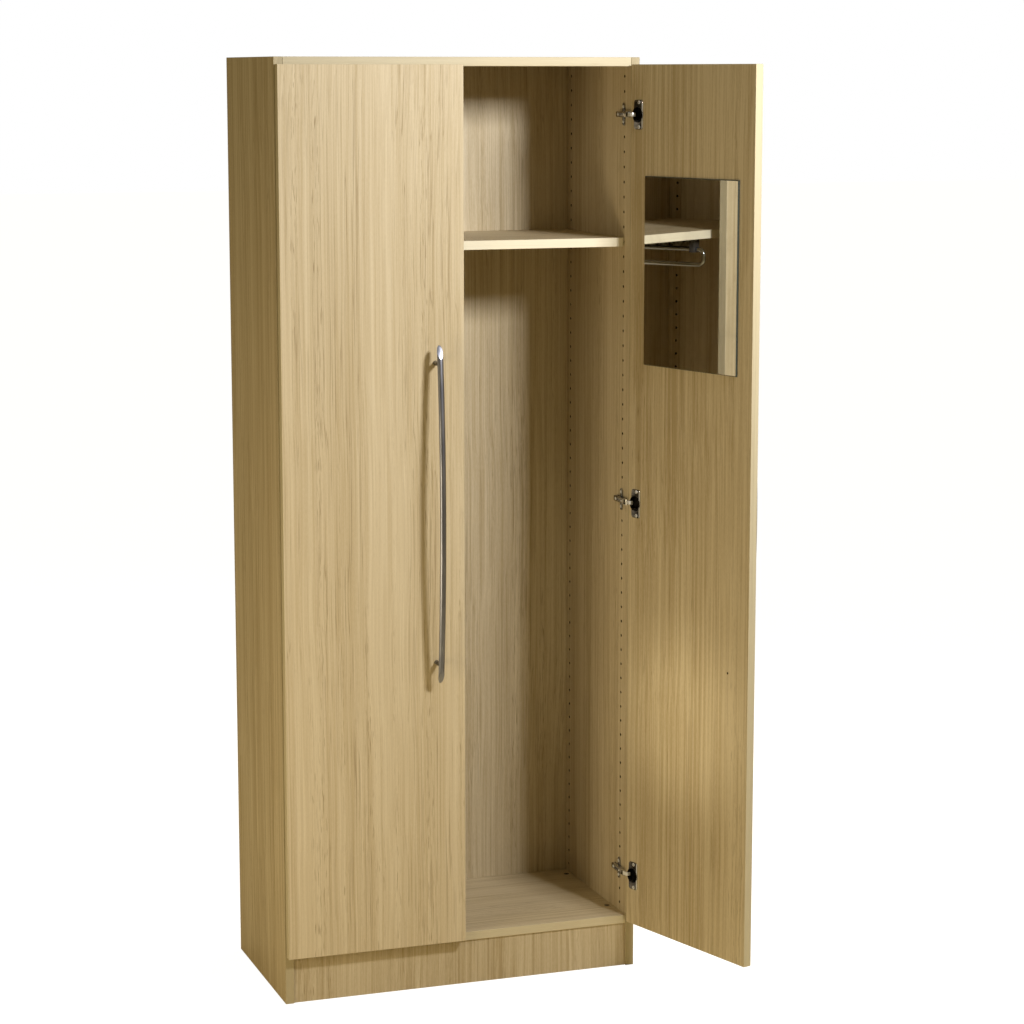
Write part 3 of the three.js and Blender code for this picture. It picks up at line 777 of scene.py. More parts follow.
def middle(node, axis):
    """The middle of a CAD part's box along one axis."""
    k = "XYZ".index(axis)
    low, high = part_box(node)
    return (low[k] + high[k]) / 2


pin_rows = [middle(f"shelf_pin_left_{row}", "Y") for row in ("front", "rear")]
MIRROR_X = Matrix.Scale(-1, 4, AXES["X"])
back_low, back_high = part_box("back_panel")
print("hole rows at", [round((y - front) / MM) for y in pin_rows], "mm from the front")

# %% A row of shelf holes
HOLE_PITCH, HOLE_RADIUS, HOLE_DEPTH = 32 * MM, 2.5 * MM, 12 * MM
HOLE_DROP, HOLE_COUNT = 40 * MM, 58
HOLE_SINK, SINK_SPREAD = 0.7 * MM, 1.6
top_hole = side_high.z - HOLE_DROP


def hole_row(y):
    """One hole with a sunk rim, repeated down the row by an array."""
    start = (inner_face - HOLE_DEPTH, y, top_hole)
    # The shelf holes take the near-black board, painted shade in the holes.
    cutter = drill(HOLE_RADIUS, start, HOLE_DEPTH - HOLE_SINK, "X", 20, PAINTED_SHADE_BORE)
    with editing(cutter):
        pick("FACE", lambda centre, normal: normal.x > 0.99)
        bpy.ops.mesh.extrude_region_move(TRANSFORM_OT_translate={"value": (2 * HOLE_SINK, 0, 0)})
        bpy.ops.transform.resize(
            value=(1, SINK_SPREAD, SINK_SPREAD),
            center_override=(inner_face + HOLE_SINK, y, top_hole),
        )
    return modify(
        cutter, "ARRAY", count=HOLE_COUNT, use_relative_offset=False,
        use_constant_offset=True, constant_offset_displace=(0, 0, -HOLE_PITCH),
    )


print("each row has", HOLE_COUNT, "holes")

# %% Side panels
GROOVE_GAP = Vector((0.3, 0.3, 0.3)) * MM


def back_groove():
    """The room that the back takes in the boards round it."""
    return coat(block(back_low - GROOVE_GAP, back_high + GROOVE_GAP), RAW_BOARD)


left_oak = oak("oak_side_left", "Z", (0.0, 0.0, 0.0), 2.0)
side_left = board("side_left", "X", left_oak, SHADED_SIDE_BAND)
carve(side_left, gather(hole_row(pin_rows[0]), hole_row(pin_rows[1])), back_groove())
side_right = copied(side_left, MIRROR_X)
side_right.material_slots[0].material = oak("oak_side_right", "Z", (2.3, 0.9, 0.6), 2.0)
install(side_left, "left_side_board", "side_left")
install(side_right, "right_side_board", "side_right")
print("side board:", triangles(side_left), "triangles")

# %% [markdown]
# The base shelf and the top panel hang between the sides on cam fittings: a round metal cam
# sits in a pocket near each end, front and rear, and draws in a bolt. The hat shelf rests on
# hidden pins, the back slides into grooves, and the plinth closes the front below.

# %% Base shelf, top panel and their cams
CAM_GAP = 0.3 * MM
CAM_ENDS = [(side, row) for side in ("left", "right") for row in ("front", "rear")]


def cam_board(node, place, face_finish):
    piece = board(node, "Z", face_finish, LEVEL_BAND)
    cutters = [back_groove()]
    low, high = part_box(node)
    for side, row in CAM_ENDS:
        a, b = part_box(f"cam_fitting_{place}_{side}_{row}")
        y = (a.y + b.y) / 2
        radius = (b.y - a.y) / 2
        x = b.x - radius if side == "left" else a.x + radius
        bottom = a.z - CAM_GAP if place == "base" else low.z - MM
        length = (b.z - a.z) + 2 * MM
        cutters.append(drill(radius + CAM_GAP, (x, y, bottom), length, "Z", 32))
    return carve(piece, *cutters)


base = cam_board("base_shelf", "base", oak("oak_base_shelf", "X", (1.1, 2.2, 0.3)))
top = cam_board("top_panel", "top", oak("oak_top_panel", "X", (0.4, 1.3, 2.1), 1.0, 0.12))
install(base, "base_shelf_board", "base_shelf")
install(top, "top_board", "top_panel")
print("base and top:", triangles(base), triangles(top), "triangles")

# %% Hat shelf, back and plinth
hat = board("hat_shelf", "Z", oak("oak_hat_shelf", "X", (2.7, 0.2, 1.4)), LIT_PALE_BAND, 7 * MM)
back = board("back_panel", "Y", oak("oak_back_panel", "Z", (1.9, 2.8, 0.2), 1.6), UPRIGHT_BAND)
# The plinth takes a darker copy of the oak colours: painted shade for its recess under the base shelf.
shaded_plinth_colours = (srgb(201, 188, 161), srgb(170, 153, 120))
plinth_finish = oak("oak_plinth_shaded", "Z", (0.7, 3.3, 1.2), 1.6, 0.0, shaded_plinth_colours)
plinth = board("plinth", "Y", plinth_finish, LEVEL_BAND)
install(hat, "hat_shelf_board", "hat_shelf")
install(back, "back_board", "back_panel")
install(plinth, "plinth_board", "plinth")
print("shelf, back, plinth:", [triangles(piece) for piece in (hat, back, plinth)], "triangles")

# %% [markdown]
# ## Cams, pins and screws
#
# A screw head is a short round bar whose rim is bevelled, with a cross cut into it. The cross
# is one slim bar welded to its quarter turn. The same head serves the cams, the hinge plates,
# the cups and the handle screws, at different sizes.


# %% A screw head with its cross
def cross_head(radius, height, centre, outward, recess=0.55, rounding=0.35):
    """A round head whose outer face looks along outward, one of "X", "Y", "Z" with a sign."""
    sign, axis = (-1, outward[1]) if outward[0] == "-" else (1, outward[0])
    centre = Vector(centre)
    start = centre if sign > 0 else centre - AXES[axis] * height
    head = rod(radius, start, height, axis, 28)
    outer = centre["XYZ".index(axis)] + sign * height
    soften(head, rounding * height, 3, rim(axis, outer))
    depth = recess * height
    across = [AXES[k] for k in "XYZ" if k != axis]
    tip = centre + AXES[axis] * sign * (height + depth)
    bottom = centre + AXES[axis] * sign * (height - depth)
    bars = []
    for long_way, short_way in (across, across[::-1]):
        reach = long_way * radius * 0.62 + short_way * radius * 0.13
        ends = [tip - reach, tip + reach, bottom - reach, bottom + reach]
        low = Vector([min(p[k] for p in ends) for k in range(3)])
        high = Vector([max(p[k] for p in ends) for k in range(3)])
        bars.append(block(low, high))
    return carve(head, weld(*bars))


# %% Cams
def cam_model(node, place):
    """The cam in the left front end, with its bolt."""
    low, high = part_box(node)
    radius = (high.y - low.y) / 2
    y, x = (low.y + high.y) / 2, high.x - radius
    height = high.z - low.z
    outward = "Z" if place == "base" else "-Z"
    foot = low.z if place == "base" else high.z
    head = cross_head(radius, height, (x, y, foot), outward, 0.18, 0.05)
    bolt_z = middle("base_shelf" if place == "base" else "top_panel", "Z")
    bolt = soften(rod(2.2 * MM, (low.x, y, bolt_z), x - low.x, "X", 16), 0.4 * MM, 2, rim("X", low.x))
    return smooth(weld(head, bolt))


for place in ("base", "top"):
    model = cam_model(f"cam_fitting_{place}_left_front", place)
    coat(model, DARK_STEEL)
    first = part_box(f"cam_fitting_{place}_left_front")[0]
    for side, row in CAM_ENDS:
        node = f"cam_fitting_{place}_{side}_{row}"
        step = Matrix.Translation((0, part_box(node)[0].y - first.y, 0))
        cam = copied(model, (MIRROR_X if side == "right" else Matrix()) @ step)
        install(cam, f"cam_{place}_{side}_{row}", node)
    bpy.data.objects.remove(model)

for side, row in CAM_ENDS:
    pin = frame["nodes"][f"shelf_pin_{side}_{row}"]
    coat(pin, BRIGHT_NICKEL)
print("each cam:", triangles(cam), "triangles")

# %% [markdown]
# ## Doors
#
# Both doors are the same board, with three bores for the hinge cups and two stepped bores for
# the handle screws. The left one is made shut, where the frame has it. The right one is its
# mirror image, swung open about the hinge line that the frame gives.

# %% The swing of the right door
joints = {joint["name"]: joint for joint in frame["joints"]}


def turn_about(joint_name, degrees):
    pivot = Matrix.Translation(joints[joint_name]["pos_m"])
    return pivot @ Matrix.Rotation(math.radians(degrees), 4, "Z") @ pivot.inverted()


OPEN_DOOR = turn_about("right_door_swing", -joints["right_door_swing"]["range_deg"][0]) @ MIRROR_X
OPEN_LINK = turn_about("right_link_turn", -joints["right_link_turn"]["range_deg"][1]) @ MIRROR_X
PLACES = ("upper", "middle", "lower")
hinge_heights = {place: middle(f"hinge_plate_left_{place}", "Z") for place in PLACES}
print("the right door stands open", -joints["right_door_swing"]["range_deg"][0], "degrees")

# %% Door boards
CUP_RADIUS, CUP_DEPTH, CUP_FROM_EDGE = 17.5 * MM, 12 * MM, 17 * MM
SINK_RADIUS, SINK_DEPTH, SHANK_BORE = 4.8 * MM, 3.3 * MM, 2.5 * MM
cup_low, cup_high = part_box("hinge_cup_left_upper")
door_low, door_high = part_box("door_left")
cup_x = cup_high.x - CUP_FROM_EDGE
screw_low, screw_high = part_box("handle_screw_left_upper")
handle_x = (screw_low.x + screw_high.x) / 2
ENDS = ("upper", "lower")
screw_z = {place: middle(f"handle_screw_left_{place}", "Z") for place in ENDS}
left_finish = oak("oak_door_left", "Z", (0.9, 1.6, 0.9), 1.15, pores=0.7)
door = board("door_left", "Y", left_finish, UPRIGHT_BAND)
cutters = []
for z in hinge_heights.values():
    start = (cup_x, door_high.y - CUP_DEPTH - CAM_GAP, z)
    cutters.append(drill(CUP_RADIUS, start, CUP_DEPTH + MM, "Y", 64))
for z in screw_z.values():
    sink = (handle_x, screw_high.y - SINK_DEPTH, z)
    cutters.append(drill(SINK_RADIUS, sink, 5 * MM, "Y", 32))
    cutters.append(drill(SHANK_BORE, (handle_x, door_low.y - MM, z), 21 * MM, "Y", 20))
carve(door, gather(*cutters))
right_door = copied(door, OPEN_DOOR)
right_door.material_slots[0].material = oak("oak_door_right", "Z", (3.7, 0.6, 2.2), 2.2)
install(door, "left_door_board", "door_left")
install(right_door, "right_door_board", "door_right")
print("door board:", triangles(door), "triangles")


# %% Putting copies on both doors
def hang(model, label, node_pattern, places, heights, open_matrix=OPEN_DOOR):
    """Copies an upper left piece to every place on the left and, opened, on the right."""
    start = heights[places[0]]
    for side in ("left", "right"):
        for place in places:
            step = Matrix.Translation((0, 0, heights[place] - start))
            matrix = (open_matrix if side == "right" else Matrix()) @ step
            node = node_pattern.format(side=side, place=place)
            install(copied(model, matrix), f"{label}_{side}_{place}", node)
    print(label, "- each", triangles(model), "triangles")
    bpy.data.objects.remove(model)


# %% [markdown]
# ## Bow handles
#
# The bar is a flat oval section swept along a shallow arc, so it is made by spinning that
# section about the arc's far centre. Each end is then cut at a slant, which leaves an oval
# face that looks forward, and the edge of the cut is broken.

# %% Handle bar
BAR_RINGS, SLANT = 36, math.radians(66)
bar_low, bar_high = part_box("handle_bar_left")
half_width = (bar_high.x - bar_low.x) / 2
half_thick = 4.9 * MM
TIP_TRIM, TIP_SHIFT, TIP_BREAK = 0.7 * MM, 0.4 * MM, 0.5 * MM
middle_z = (bar_low.z + bar_high.z) / 2
POST_OFFSET, BOW, POST_SPACING = 35 * MM, 15 * MM, screw_z["upper"] - screw_z["lower"]
arc = ((POST_SPACING / 2) ** 2 + BOW**2) / (2 * BOW)
arc_centre = Vector((handle_x, door_low.y - POST_OFFSET - BOW + arc, middle_z))
reach = math.asin(((bar_high.z - bar_low.z) / 2 - TIP_TRIM) / arc)

deselect_all()
start_ring = arc_centre + Vector((0, -arc * math.cos(reach), -arc * math.sin(reach)))
bpy.ops.mesh.primitive_circle_add(vertices=32, radius=1, location=start_ring)
bar = bpy.context.active_object
bar.scale = (half_width, half_thick, 1)
bar.rotation_euler = (reach, 0, 0)
settle()
with editing(bar):
    bpy.ops.mesh.select_all(action="SELECT")
    bpy.ops.mesh.spin(
        steps=BAR_RINGS, angle=2 * reach, center=arc_centre, axis=(1, 0, 0), use_auto_merge=False
    )


def cut_tip(piece, sign):
    """Cuts one end of the bar at a slant and breaks the edge of the cut."""
    end = arc_centre + Vector((0, -arc * math.cos(reach), sign * arc * math.sin(reach)))
    tangent = Vector((0, math.sin(reach), sign * math.cos(reach)))
    rearward = Vector((0, math.cos(reach), -sign * math.sin(reach)))
    point = end + rearward * half_thick - tangent * TIP_SHIFT
    outward = Vector((0, -math.sin(SLANT), sign * math.cos(SLANT)))
    with editing(piece):
        bpy.ops.mesh.select_all(action="SELECT")
        bpy.ops.mesh.bisect(plane_co=point, plane_no=outward, use_fill=True, clear_outer=True)
        pick("EDGE", lambda a, b: max(abs((c - point).dot(outward)) for c in (a, b)) < 1e-5)
        bpy.ops.mesh.bevel(offset=TIP_BREAK, segments=2, affect="EDGES")


for sign in (-1, 1):
    cut_tip(bar, sign)
face_outward(bar)
coat(smooth(bar, 40), SATIN_NICKEL)
print("bar:", [round(n / MM, 1) for n in bar.dimensions], "mm")

hang(bar, "handle_bar", "handle_bar_{side}", ("whole",), {"whole": 0.0})

# %% Handle posts and their screws
post_low, post_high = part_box("handle_post_left_upper")
post_radius = (post_high.x - post_low.x) / 2
INTO_BAR, COLLAR, SLIMMER = 3 * MM, 3 * MM, 0.94
screw_up = screw_z["upper"]
collar_y = post_high.y - COLLAR
length = post_high.y - post_low.y + INTO_BAR
post = rod(post_radius * SLIMMER, (handle_x, post_low.y - INTO_BAR, screw_up), length, "Y", 36)
collar = rod(post_radius, (handle_x, collar_y, screw_up), COLLAR, "Y", 36)
soften(collar, 0.8 * MM, 3, rim("Y", collar_y))
# The posts take the darker nickel, painted shade under the bar.
post = coat(smooth(weld(post, collar)), SHADED_POST_NICKEL)
hang(post, "bar_post", "handle_post_{side}_{place}", ENDS, screw_z)

HEAD_RADIUS, HEAD_HEIGHT, SHANK = 4.5 * MM, 2.7 * MM, 2 * MM
head_foot = (handle_x, screw_high.y - HEAD_HEIGHT, screw_up)
head = cross_head(HEAD_RADIUS, HEAD_HEIGHT, head_foot, "Y")
length = screw_high.y - screw_low.y - 2 * MM
shank = rod(SHANK, (handle_x, screw_low.y, screw_up), length, "Y", 20)
screw = coat(smooth(weld(head, shank)), DARK_STEEL)
hang(screw, "post_screw", "handle_screw_{side}_{place}", ENDS, screw_z)

# %% [markdown]
# ## The mirror
#
# The mirror is a sheet of glass with a ground bevel round its face. It lies on the right
# door's inner face, so it is drawn as if that door were shut, and then swung open with it.

# %% Mirror
MIRROR_SIZE = Vector((300, 4, 400)) * MM
MIRROR_FROM_EDGE, MIRROR_FROM_TOP = 45 * MM, 233 * MM
mirror_right = door_high.x - MIRROR_FROM_EDGE
mirror_top = door_high.z - MIRROR_FROM_TOP
mirror_back = door_high.y + 0.3 * MM
glass = block(
    (mirror_right - MIRROR_SIZE.x, mirror_back, mirror_top - MIRROR_SIZE.z),
    (mirror_right, mirror_back + MIRROR_SIZE.y, mirror_top),
)
mirror_face = mirror_back + MIRROR_SIZE.y
GROUND_BEVEL = 1.5 * MM
soften(glass, GROUND_BEVEL, 1, rim("Y", mirror_face))
coat(glass, MIRROR_FACE, MIRROR_EDGE)
paint(glass, 1, lambda centre, normal: normal.y < 0.99)
mirror = copied(glass, OPEN_DOOR)
bpy.data.objects.remove(glass)
install(mirror, "door_mirror", "mirror")
print("mirror:", [round(n, 3) for n in mirror.dimensions])

# %% [markdown]
# ## Cup hinges
#
# A cup hinge has four parts. The plate is screwed to the side by two ears. The arm lies on it
# and ends in a fork with a pin. A bent link swings on that pin and reaches into the cup, which
# is sunk in the door and held by a flange with two screws. Everything is placed from the
# corner of the side's inner face and front edge, at the height of the hinge, and the measures
# in these cells are millimetres from that corner: inward, rearward and up.

# %% The corner that hinges are measured from
hinge_z = hinge_heights["upper"]


def from_corner(inward, rearward, up=0.0):
    return Vector((inner_face + inward * MM, front + rearward * MM, hinge_z + up * MM))


def hinge_block(inward, rearward, up):
    """A block between two measures along each of the three directions."""
    return block(*(from_corner(*ends) for ends in zip(inward, rearward, up)))


print("hinge heights:", {place: round(z, 3) for place, z in hinge_heights.items()})

# %% Plate with its ears and screws
plate_low, plate_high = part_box("hinge_plate_left_upper")
PLATE_FACE = (plate_high.x - inner_face) / MM
PIN_ROW = (pin_rows[0] - front) / MM
PLATE_FOOT, PLATE_FRONT, PLATE_HALF = 0.3, 22, 6.5
EAR_RADIUS, EAR_SCREW = 6.5, 16
half_span = (plate_high.z - plate_low.z) / 2 / MM
ear_centre = half_span - EAR_RADIUS
rear = (plate_high.y - front) / MM
plate_depth = (PLATE_FOOT, PLATE_FACE)
plate = hinge_block(plate_depth, (PLATE_FRONT, rear), (-PLATE_HALF, PLATE_HALF))
soften(plate, 2 * MM, 4, along("X"))
ear_rows = (PIN_ROW - EAR_RADIUS, PIN_ROW + EAR_RADIUS)
ear_bar = hinge_block(plate_depth, ear_rows, (-ear_centre, ear_centre))
thick = (PLATE_FACE - PLATE_FOOT) * MM
ears = [
    rod(EAR_RADIUS * MM, from_corner(PLATE_FOOT, PIN_ROW, up), thick, "X", 36)
    for up in (ear_centre, -ear_centre)
]
weld(plate, ear_bar, *ears)
soften(plate, 0.3 * MM, 2, rim("X", plate_high.x))
SCREW_RADIUS, SCREW_HEIGHT, SCREW_SINK = 3.6 * MM, 1.7 * MM, 0.4
screw_foot = PLATE_FACE - SCREW_SINK
plate_screws = [
    cross_head(SCREW_RADIUS, SCREW_HEIGHT, from_corner(screw_foot, PIN_ROW, up), "X")
    for up in (EAR_SCREW, -EAR_SCREW)
]
for screw in plate_screws:
    coat(screw, ZINC_SCREW)
plate = smooth(gather(coat(plate, BRIGHT_NICKEL), *plate_screws))
hang(plate, "eared_plate", "hinge_plate_{side}_{place}",
     PLACES, hinge_heights, MIRROR_X)
print("plate:", round(rear - PLATE_FRONT, 1), "by", round(2 * half_span, 1), "mm over its ears")

# %% Arm with its fork, pin and setting screws
arm_low, arm_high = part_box("hinge_arm_left_upper")
ARM_NEAR, ARM_FAR = (arm_low.x - inner_face) / MM, (arm_high.x - inner_face) / MM
ARM_FRONT, ARM_REAR, HEAD_PROUD = 5, 61.5, 0.9
KNUCKLE, NOSE_RADIUS, CHEEK = (7.0, -6.0), 3.0, 1.3
FORK_DEPTH, FORK_REAR, CHEEK_REAR = 4.5, 20, 8
half_arm = (arm_high.z - arm_low.z) / 2 / MM
arm = hinge_block((ARM_NEAR, ARM_FAR - HEAD_PROUD), (ARM_FRONT, ARM_REAR), (-half_arm, half_arm))
soften(arm, 1.6 * MM, 3, lambda a, b: along("Y")(a, b) and a.x > arm_high.x - 1.5 * MM)
soften(arm, 1.0 * MM, 2, rim("Y", front + ARM_REAR * MM))
half_fork = half_arm - CHEEK
hollow = hinge_block((ARM_NEAR - 1, ARM_NEAR + FORK_DEPTH), (-1, FORK_REAR), (-half_fork, half_fork))
carve(arm, hollow)
cheek_depth = (KNUCKLE[0] - NOSE_RADIUS, KNUCKLE[0] + NOSE_RADIUS)
for up in ((-half_arm, -half_fork), (half_fork, half_arm)):
    cheek = hinge_block(cheek_depth, (KNUCKLE[1], CHEEK_REAR), up)
    nose = rod(NOSE_RADIUS * MM, from_corner(*KNUCKLE, up[0]), CHEEK * MM, "Z", 32)
    weld(arm, cheek, nose)
PIN_RADIUS = 1.3
pin = rod(PIN_RADIUS * MM, from_corner(*KNUCKLE, -half_arm), 2 * half_arm * MM, "Z", 20)
soften(pin, 0.3 * MM, 2, rim("Z", hinge_z + half_arm * MM))
SETTING_ROW, ADJUSTER_ROW, SLOT_ROWS, SLOT_HALF = 50, 16, (26, 40), 1.6
head_foot = ARM_FAR - 1.5
setting = cross_head(3.4 * MM, 1.5 * MM, from_corner(head_foot, SETTING_ROW), "X")
adjuster = cross_head(2.4 * MM, 1.4 * MM, from_corner(head_foot, ADJUSTER_ROW), "X")
slot_cut = hinge_block((ARM_FAR - 1.6, ARM_FAR + 1), SLOT_ROWS, (-SLOT_HALF, SLOT_HALF))
carve(arm, soften(slot_cut, 1.5 * MM, 4, along("X")))
loose = [coat(piece, ZINC_SCREW) for piece in (pin, setting, adjuster)]
arm = smooth(gather(coat(arm, BRIGHT_NICKEL), *loose))
hang(arm, "forked_arm", "hinge_arm_{side}_{place}",
     PLACES, hinge_heights, MIRROR_X)
print("arm:", ARM_REAR - ARM_FRONT, "mm long, pin", -KNUCKLE[1], "mm before the side's edge")

# %% [markdown]
# The link is a bent strip. It starts as one narrow plane, whose end edge is extruded from bend
# to bend, and Solidify gives it an even thickness. Its bends are known for the open door: it
# leaves the pin forwards, turns towards the door and ends on a foot inside the cup. They are
# turned back round the pin to where they lie with the door shut.

# %% Bends of the link
LINK_HALF, LINK_THICK, LINK_CLEAR = 4.0, 1.4, 3.6
link_turn = joints["right_link_turn"]["range_deg"][1]
pin_point = Vector(KNUCKLE)
FIRST_REACH = Vector((0.5, -7))
FOOT_REACH = Vector((7.4, -0.3))
FOOT_OPEN = Vector((-2.996, -17.742))
bends_open = [
    pin_point + FIRST_REACH.normalized() * LINK_CLEAR,
    pin_point + FIRST_REACH,
    FOOT_OPEN + FOOT_REACH,
    FOOT_OPEN,
]
back_turn = Matrix.Rotation(math.radians(-link_turn), 2)
bends = [pin_point + back_turn @ (point - pin_point) for point in bends_open]
print("bends with the door shut:", [tuple(round(n, 1) for n in point) for point in bends])

# %% Strip of the link
deselect_all()
bpy.ops.mesh.primitive_plane_add(size=1, location=(0, 0, 0))
link = bpy.context.active_object
link.scale = (1, 2 * LINK_HALF * MM, 1)
link.rotation_euler = (math.pi / 2, 0, 0)
settle()
first, second = (from_corner(*point) for point in bends[:2])
direction = (second - first).normalized()
link.data.transform(
    Matrix.Translation((first + second) / 2)
    @ Matrix.Rotation(math.atan2(direction.y, direction.x), 4, "Z")
    @ Matrix.Scale((second - first).length, 4, AXES["X"])
)
with editing(link):
    pick("EDGE", lambda a, b: max((a.xy - second.xy).length, (b.xy - second.xy).length) < 1e-5)
    for before, after in zip(bends[1:-1], bends[2:]):
        step = Vector(((after - before).x * MM, (after - before).y * MM, 0))
        bpy.ops.mesh.extrude_region_move(TRANSFORM_OT_translate={"value": step})
face_outward(link)
modify(link, "SOLIDIFY", thickness=LINK_THICK * MM, offset=0, use_even_offset=True)
soften(link, 0.25 * MM, 2)
print("strip faces:", len(link.data.polygons))

# %% Eye of the link, which turns on the pin
EYE_RADIUS, BORE_RADIUS, NECK_LAP = 2.7, 1.55, 0.4
eye = rod(EYE_RADIUS * MM, from_corner(*KNUCKLE, -LINK_HALF), 2 * LINK_HALF * MM, "Z", 28)
half_wall = LINK_THICK / 2
neck = block(
    Vector((0, -half_wall, -LINK_HALF)) * MM,
    Vector((LINK_CLEAR + NECK_LAP, half_wall, LINK_HALF)) * MM,
)
neck.data.transform(
    Matrix.Translation(from_corner(*KNUCKLE))
    @ Matrix.Rotation(math.atan2(*(bends[0] - pin_point).yx), 4, "Z")
)
weld(eye, neck)
bore_start = from_corner(*KNUCKLE, -LINK_HALF - 1)
carve(eye, rod(BORE_RADIUS * MM, bore_start, (2 * LINK_HALF + 2) * MM, "Z", 24))
link = coat(smooth(gather(link, eye)), ZINC_SCREW)
hang(link, "bent_link", "hinge_link_{side}_{place}",
     PLACES, hinge_heights, OPEN_LINK)
print("link turns", round(link_turn), "degrees back from the open door")

# %% [markdown]
# The cup is pressed from one sheet. A flat flange and a round bowl are welded, then hollowed
# by a near-black cutter, which leaves its finish inside as painted shade in the hollow. The far edge of
# the flange is cut off as a strip of its own in the pale zinc finish, rougher than the rest and near-white, a
# painted highlight along that edge.

# %% Cup and flange
FLANGE_THICK, FLANGE_WIDE, HIGHLIGHT_STRIP = 1.3, 28.5, 3.0
CUP_FLOOR, CUP_WALL, HOLLOW_FLOOR = -15, 0.7, -13.8
FLANGE_FACE = (cup_high.y - front) / MM
FLANGE_BACK = FLANGE_FACE - FLANGE_THICK
cup_inward = (cup_x - inner_face) / MM
bowl_radius = CUP_RADIUS / MM - 0.3
half_flange = (cup_high.z - cup_low.z) / 2 / MM
far = (cup_high.x - inner_face) / MM
flange_depth = (FLANGE_BACK, FLANGE_FACE)
flange = hinge_block((far - FLANGE_WIDE, far), flange_depth, (-half_flange, half_flange))
soften(flange, 6 * MM, 6, along("Y"))
disc = rod(CUP_RADIUS, from_corner(cup_inward, FLANGE_BACK), FLANGE_THICK * MM, "Y", 64)
bowl_depth = (FLANGE_BACK - CUP_FLOOR + 0.2) * MM
bowl = rod(bowl_radius * MM, from_corner(cup_inward, CUP_FLOOR), bowl_depth, "Y", 64)
soften(bowl, 1.5 * MM, 3, rim("Y", front + CUP_FLOOR * MM))
weld(flange, disc, bowl)
inside_radius = (bowl_radius - CUP_WALL) * MM
inside = rod(inside_radius, from_corner(cup_inward, HOLLOW_FLOOR), 16 * MM, "Y", 64)
soften(inside, 1.2 * MM, 3, rim("Y", front + HOLLOW_FLOOR * MM))
# The hollow takes the near-black finish of its cutter, painted shade inside the cup.
carve(coat(flange, BRIGHT_NICKEL), coat(inside, CUP_PAINTED_SHADE))
soften(flange, 0.3 * MM, 2, rim("Y", cup_high.y))
coat(flange, BRIGHT_NICKEL, CUP_PAINTED_SHADE, ZINC_SCREW)
# The far strip of the flange gets the pale zinc finish, a painted highlight line along that edge.
highlight_edge = from_corner(far - HIGHLIGHT_STRIP, 0)
with editing(flange):
    bpy.ops.mesh.select_all(action="SELECT")
    bpy.ops.mesh.bisect(plane_co=highlight_edge, plane_no=(1, 0, 0))
paint(flange, 2, lambda centre, normal: centre.x > highlight_edge.x and normal.y > 0.5)
CUP_SCREW_IN, CUP_SCREW_UP, CUP_SCREW_SINK = 11.0, 26, 0.8
screw_row = FLANGE_FACE - CUP_SCREW_SINK
cup_screws = [
    coat(cross_head(3.8 * MM, 1.6 * MM, from_corner(CUP_SCREW_IN, screw_row, up), "Y"), ZINC_SCREW)
    for up in (CUP_SCREW_UP, -CUP_SCREW_UP)
]
cup = smooth(gather(flange, *cup_screws))
hang(cup, "sunk_cup", "hinge_cup_{side}_{place}", PLACES, hinge_heights)
print("bowl:", round(2 * bowl_radius, 1), "mm wide, walls", CUP_WALL, "mm")

# %% [markdown]
# ## The clothes rail
#
# A steel channel under the hat shelf guides a slider. A rod bent into a long ring hangs from
# the slider and runs through a plastic block at the front, so it can be pulled forward. The
# rod starts as one circle that is extruded along each straight and spun round each corner.

# %% Channel
channel_low, channel_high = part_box("rail_channel")
channel = soften(block(channel_low, channel_high), 2.5 * MM, 4,
                 lambda a, b: along("Y")(a, b) and a.z > channel_high.z - MM)
WALL = 2 * MM
hollow = block(
    (channel_low.x + WALL, channel_low.y - MM, channel_low.z - MM),
    (channel_high.x - WALL, channel_high.y + MM, channel_high.z - WALL),
)
soften(hollow, 1.2 * MM, 3, lambda a, b: along("Y")(a, b) and a.z > channel_high.z - 3 * MM)
carve(channel, hollow)
channel_screws = [
    cross_head(3.5 * MM, 1.4 * MM, (0, y, channel_high.z - WALL), "-Z")
    for y in (channel_low.y + 30 * MM, channel_high.y - 20 * MM)
]
channel = coat(smooth(gather(channel, *channel_screws)), DARK_STEEL)
install(channel, "rail_channel_steel", "rail_channel")
print("channel:", triangles(channel), "triangles")

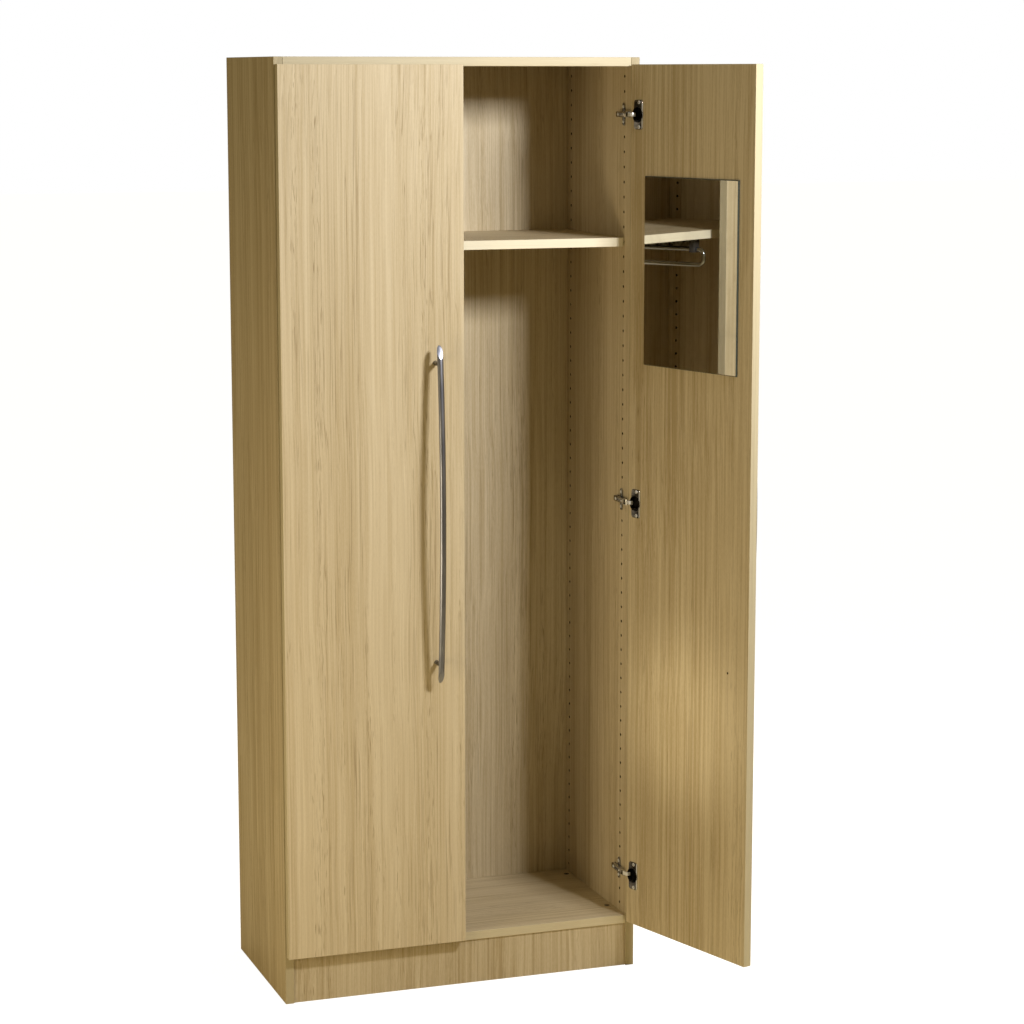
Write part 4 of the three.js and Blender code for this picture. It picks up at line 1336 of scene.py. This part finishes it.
# %% Guide block
GUIDE_GAP = 0.6 * MM
loop_low, loop_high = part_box("rail_loop")
rod_radius = (loop_high.x - loop_low.x) / 2
upper_rod, lower_rod = loop_high.z - rod_radius, loop_low.z + rod_radius
guide_low, guide_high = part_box("rail_guide")
guide = soften(block(guide_low, guide_high), 1.5 * MM, 3,
               lambda a, b: along("Y")(a, b) and a.z < guide_high.z - MM)
soften(guide, 0.5 * MM, 2, rim("Y", guide_low.y))
carve(guide, rod(rod_radius + GUIDE_GAP, (0, guide_low.y - MM, upper_rod), 20 * MM, "Y", 40))
install(coat(smooth(guide), DARK_PLASTIC), "rail_guide_block", "rail_guide")
print("guide:", triangles(guide), "triangles")

# %% Slider with its grip grooves
GROOVE_DEEP, GROOVE_HALF = 0.6 * MM, 2 * MM
slider_low, slider_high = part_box("rail_slider")
slider = soften(block(slider_low, slider_high), 1.2 * MM, 3, along("Y"))
for share in (0.25, 0.5, 0.75):
    y = slider_low.y + share * (slider_high.y - slider_low.y)
    for x in (slider_low.x, slider_high.x):
        low = (x - GROOVE_DEEP, y - GROOVE_HALF, slider_low.z - MM)
        high = (x + GROOVE_DEEP, y + GROOVE_HALF, slider_high.z + MM)
        carve(slider, block(low, high))
install(coat(smooth(slider), DARK_PLASTIC), "rail_slider_block", "rail_slider")
print("slider:", triangles(slider), "triangles")

# %% Rod loop
CORNER = 14 * MM
front_run, rear_run = loop_low.y + rod_radius, loop_high.y - rod_radius
deselect_all()
bpy.ops.mesh.primitive_circle_add(
    vertices=20, radius=rod_radius, location=(0, front_run + CORNER, upper_rod), rotation=TURN_TO["Y"]
)
loop = bpy.context.active_object
settle()
straight = rear_run - front_run - 2 * CORNER
rise = upper_rod - lower_rod - 2 * CORNER
turns = [
    ((0, straight, 0), (0, rear_run - CORNER, upper_rod - CORNER)),
    ((0, 0, -rise), (0, rear_run - CORNER, lower_rod + CORNER)),
    ((0, -straight, 0), (0, front_run + CORNER, lower_rod + CORNER)),
    ((0, 0, rise), (0, front_run + CORNER, upper_rod - CORNER)),
]
with editing(loop):
    bpy.ops.mesh.select_all(action="SELECT")
    for run, centre in turns:
        bpy.ops.mesh.extrude_region_move(TRANSFORM_OT_translate={"value": run})
        bpy.ops.mesh.spin(
            steps=8, angle=math.pi / 2, center=centre, axis=(1, 0, 0), use_auto_merge=False
        )
    bpy.ops.mesh.select_all(action="SELECT")
    bpy.ops.mesh.remove_doubles(threshold=1e-5)
face_outward(loop)
install(coat(smooth(loop, 40), CHROME), "rail_rod_loop", "rail_loop")
print("loop:", [round(n, 4) for n in loop.dimensions], triangles(loop))
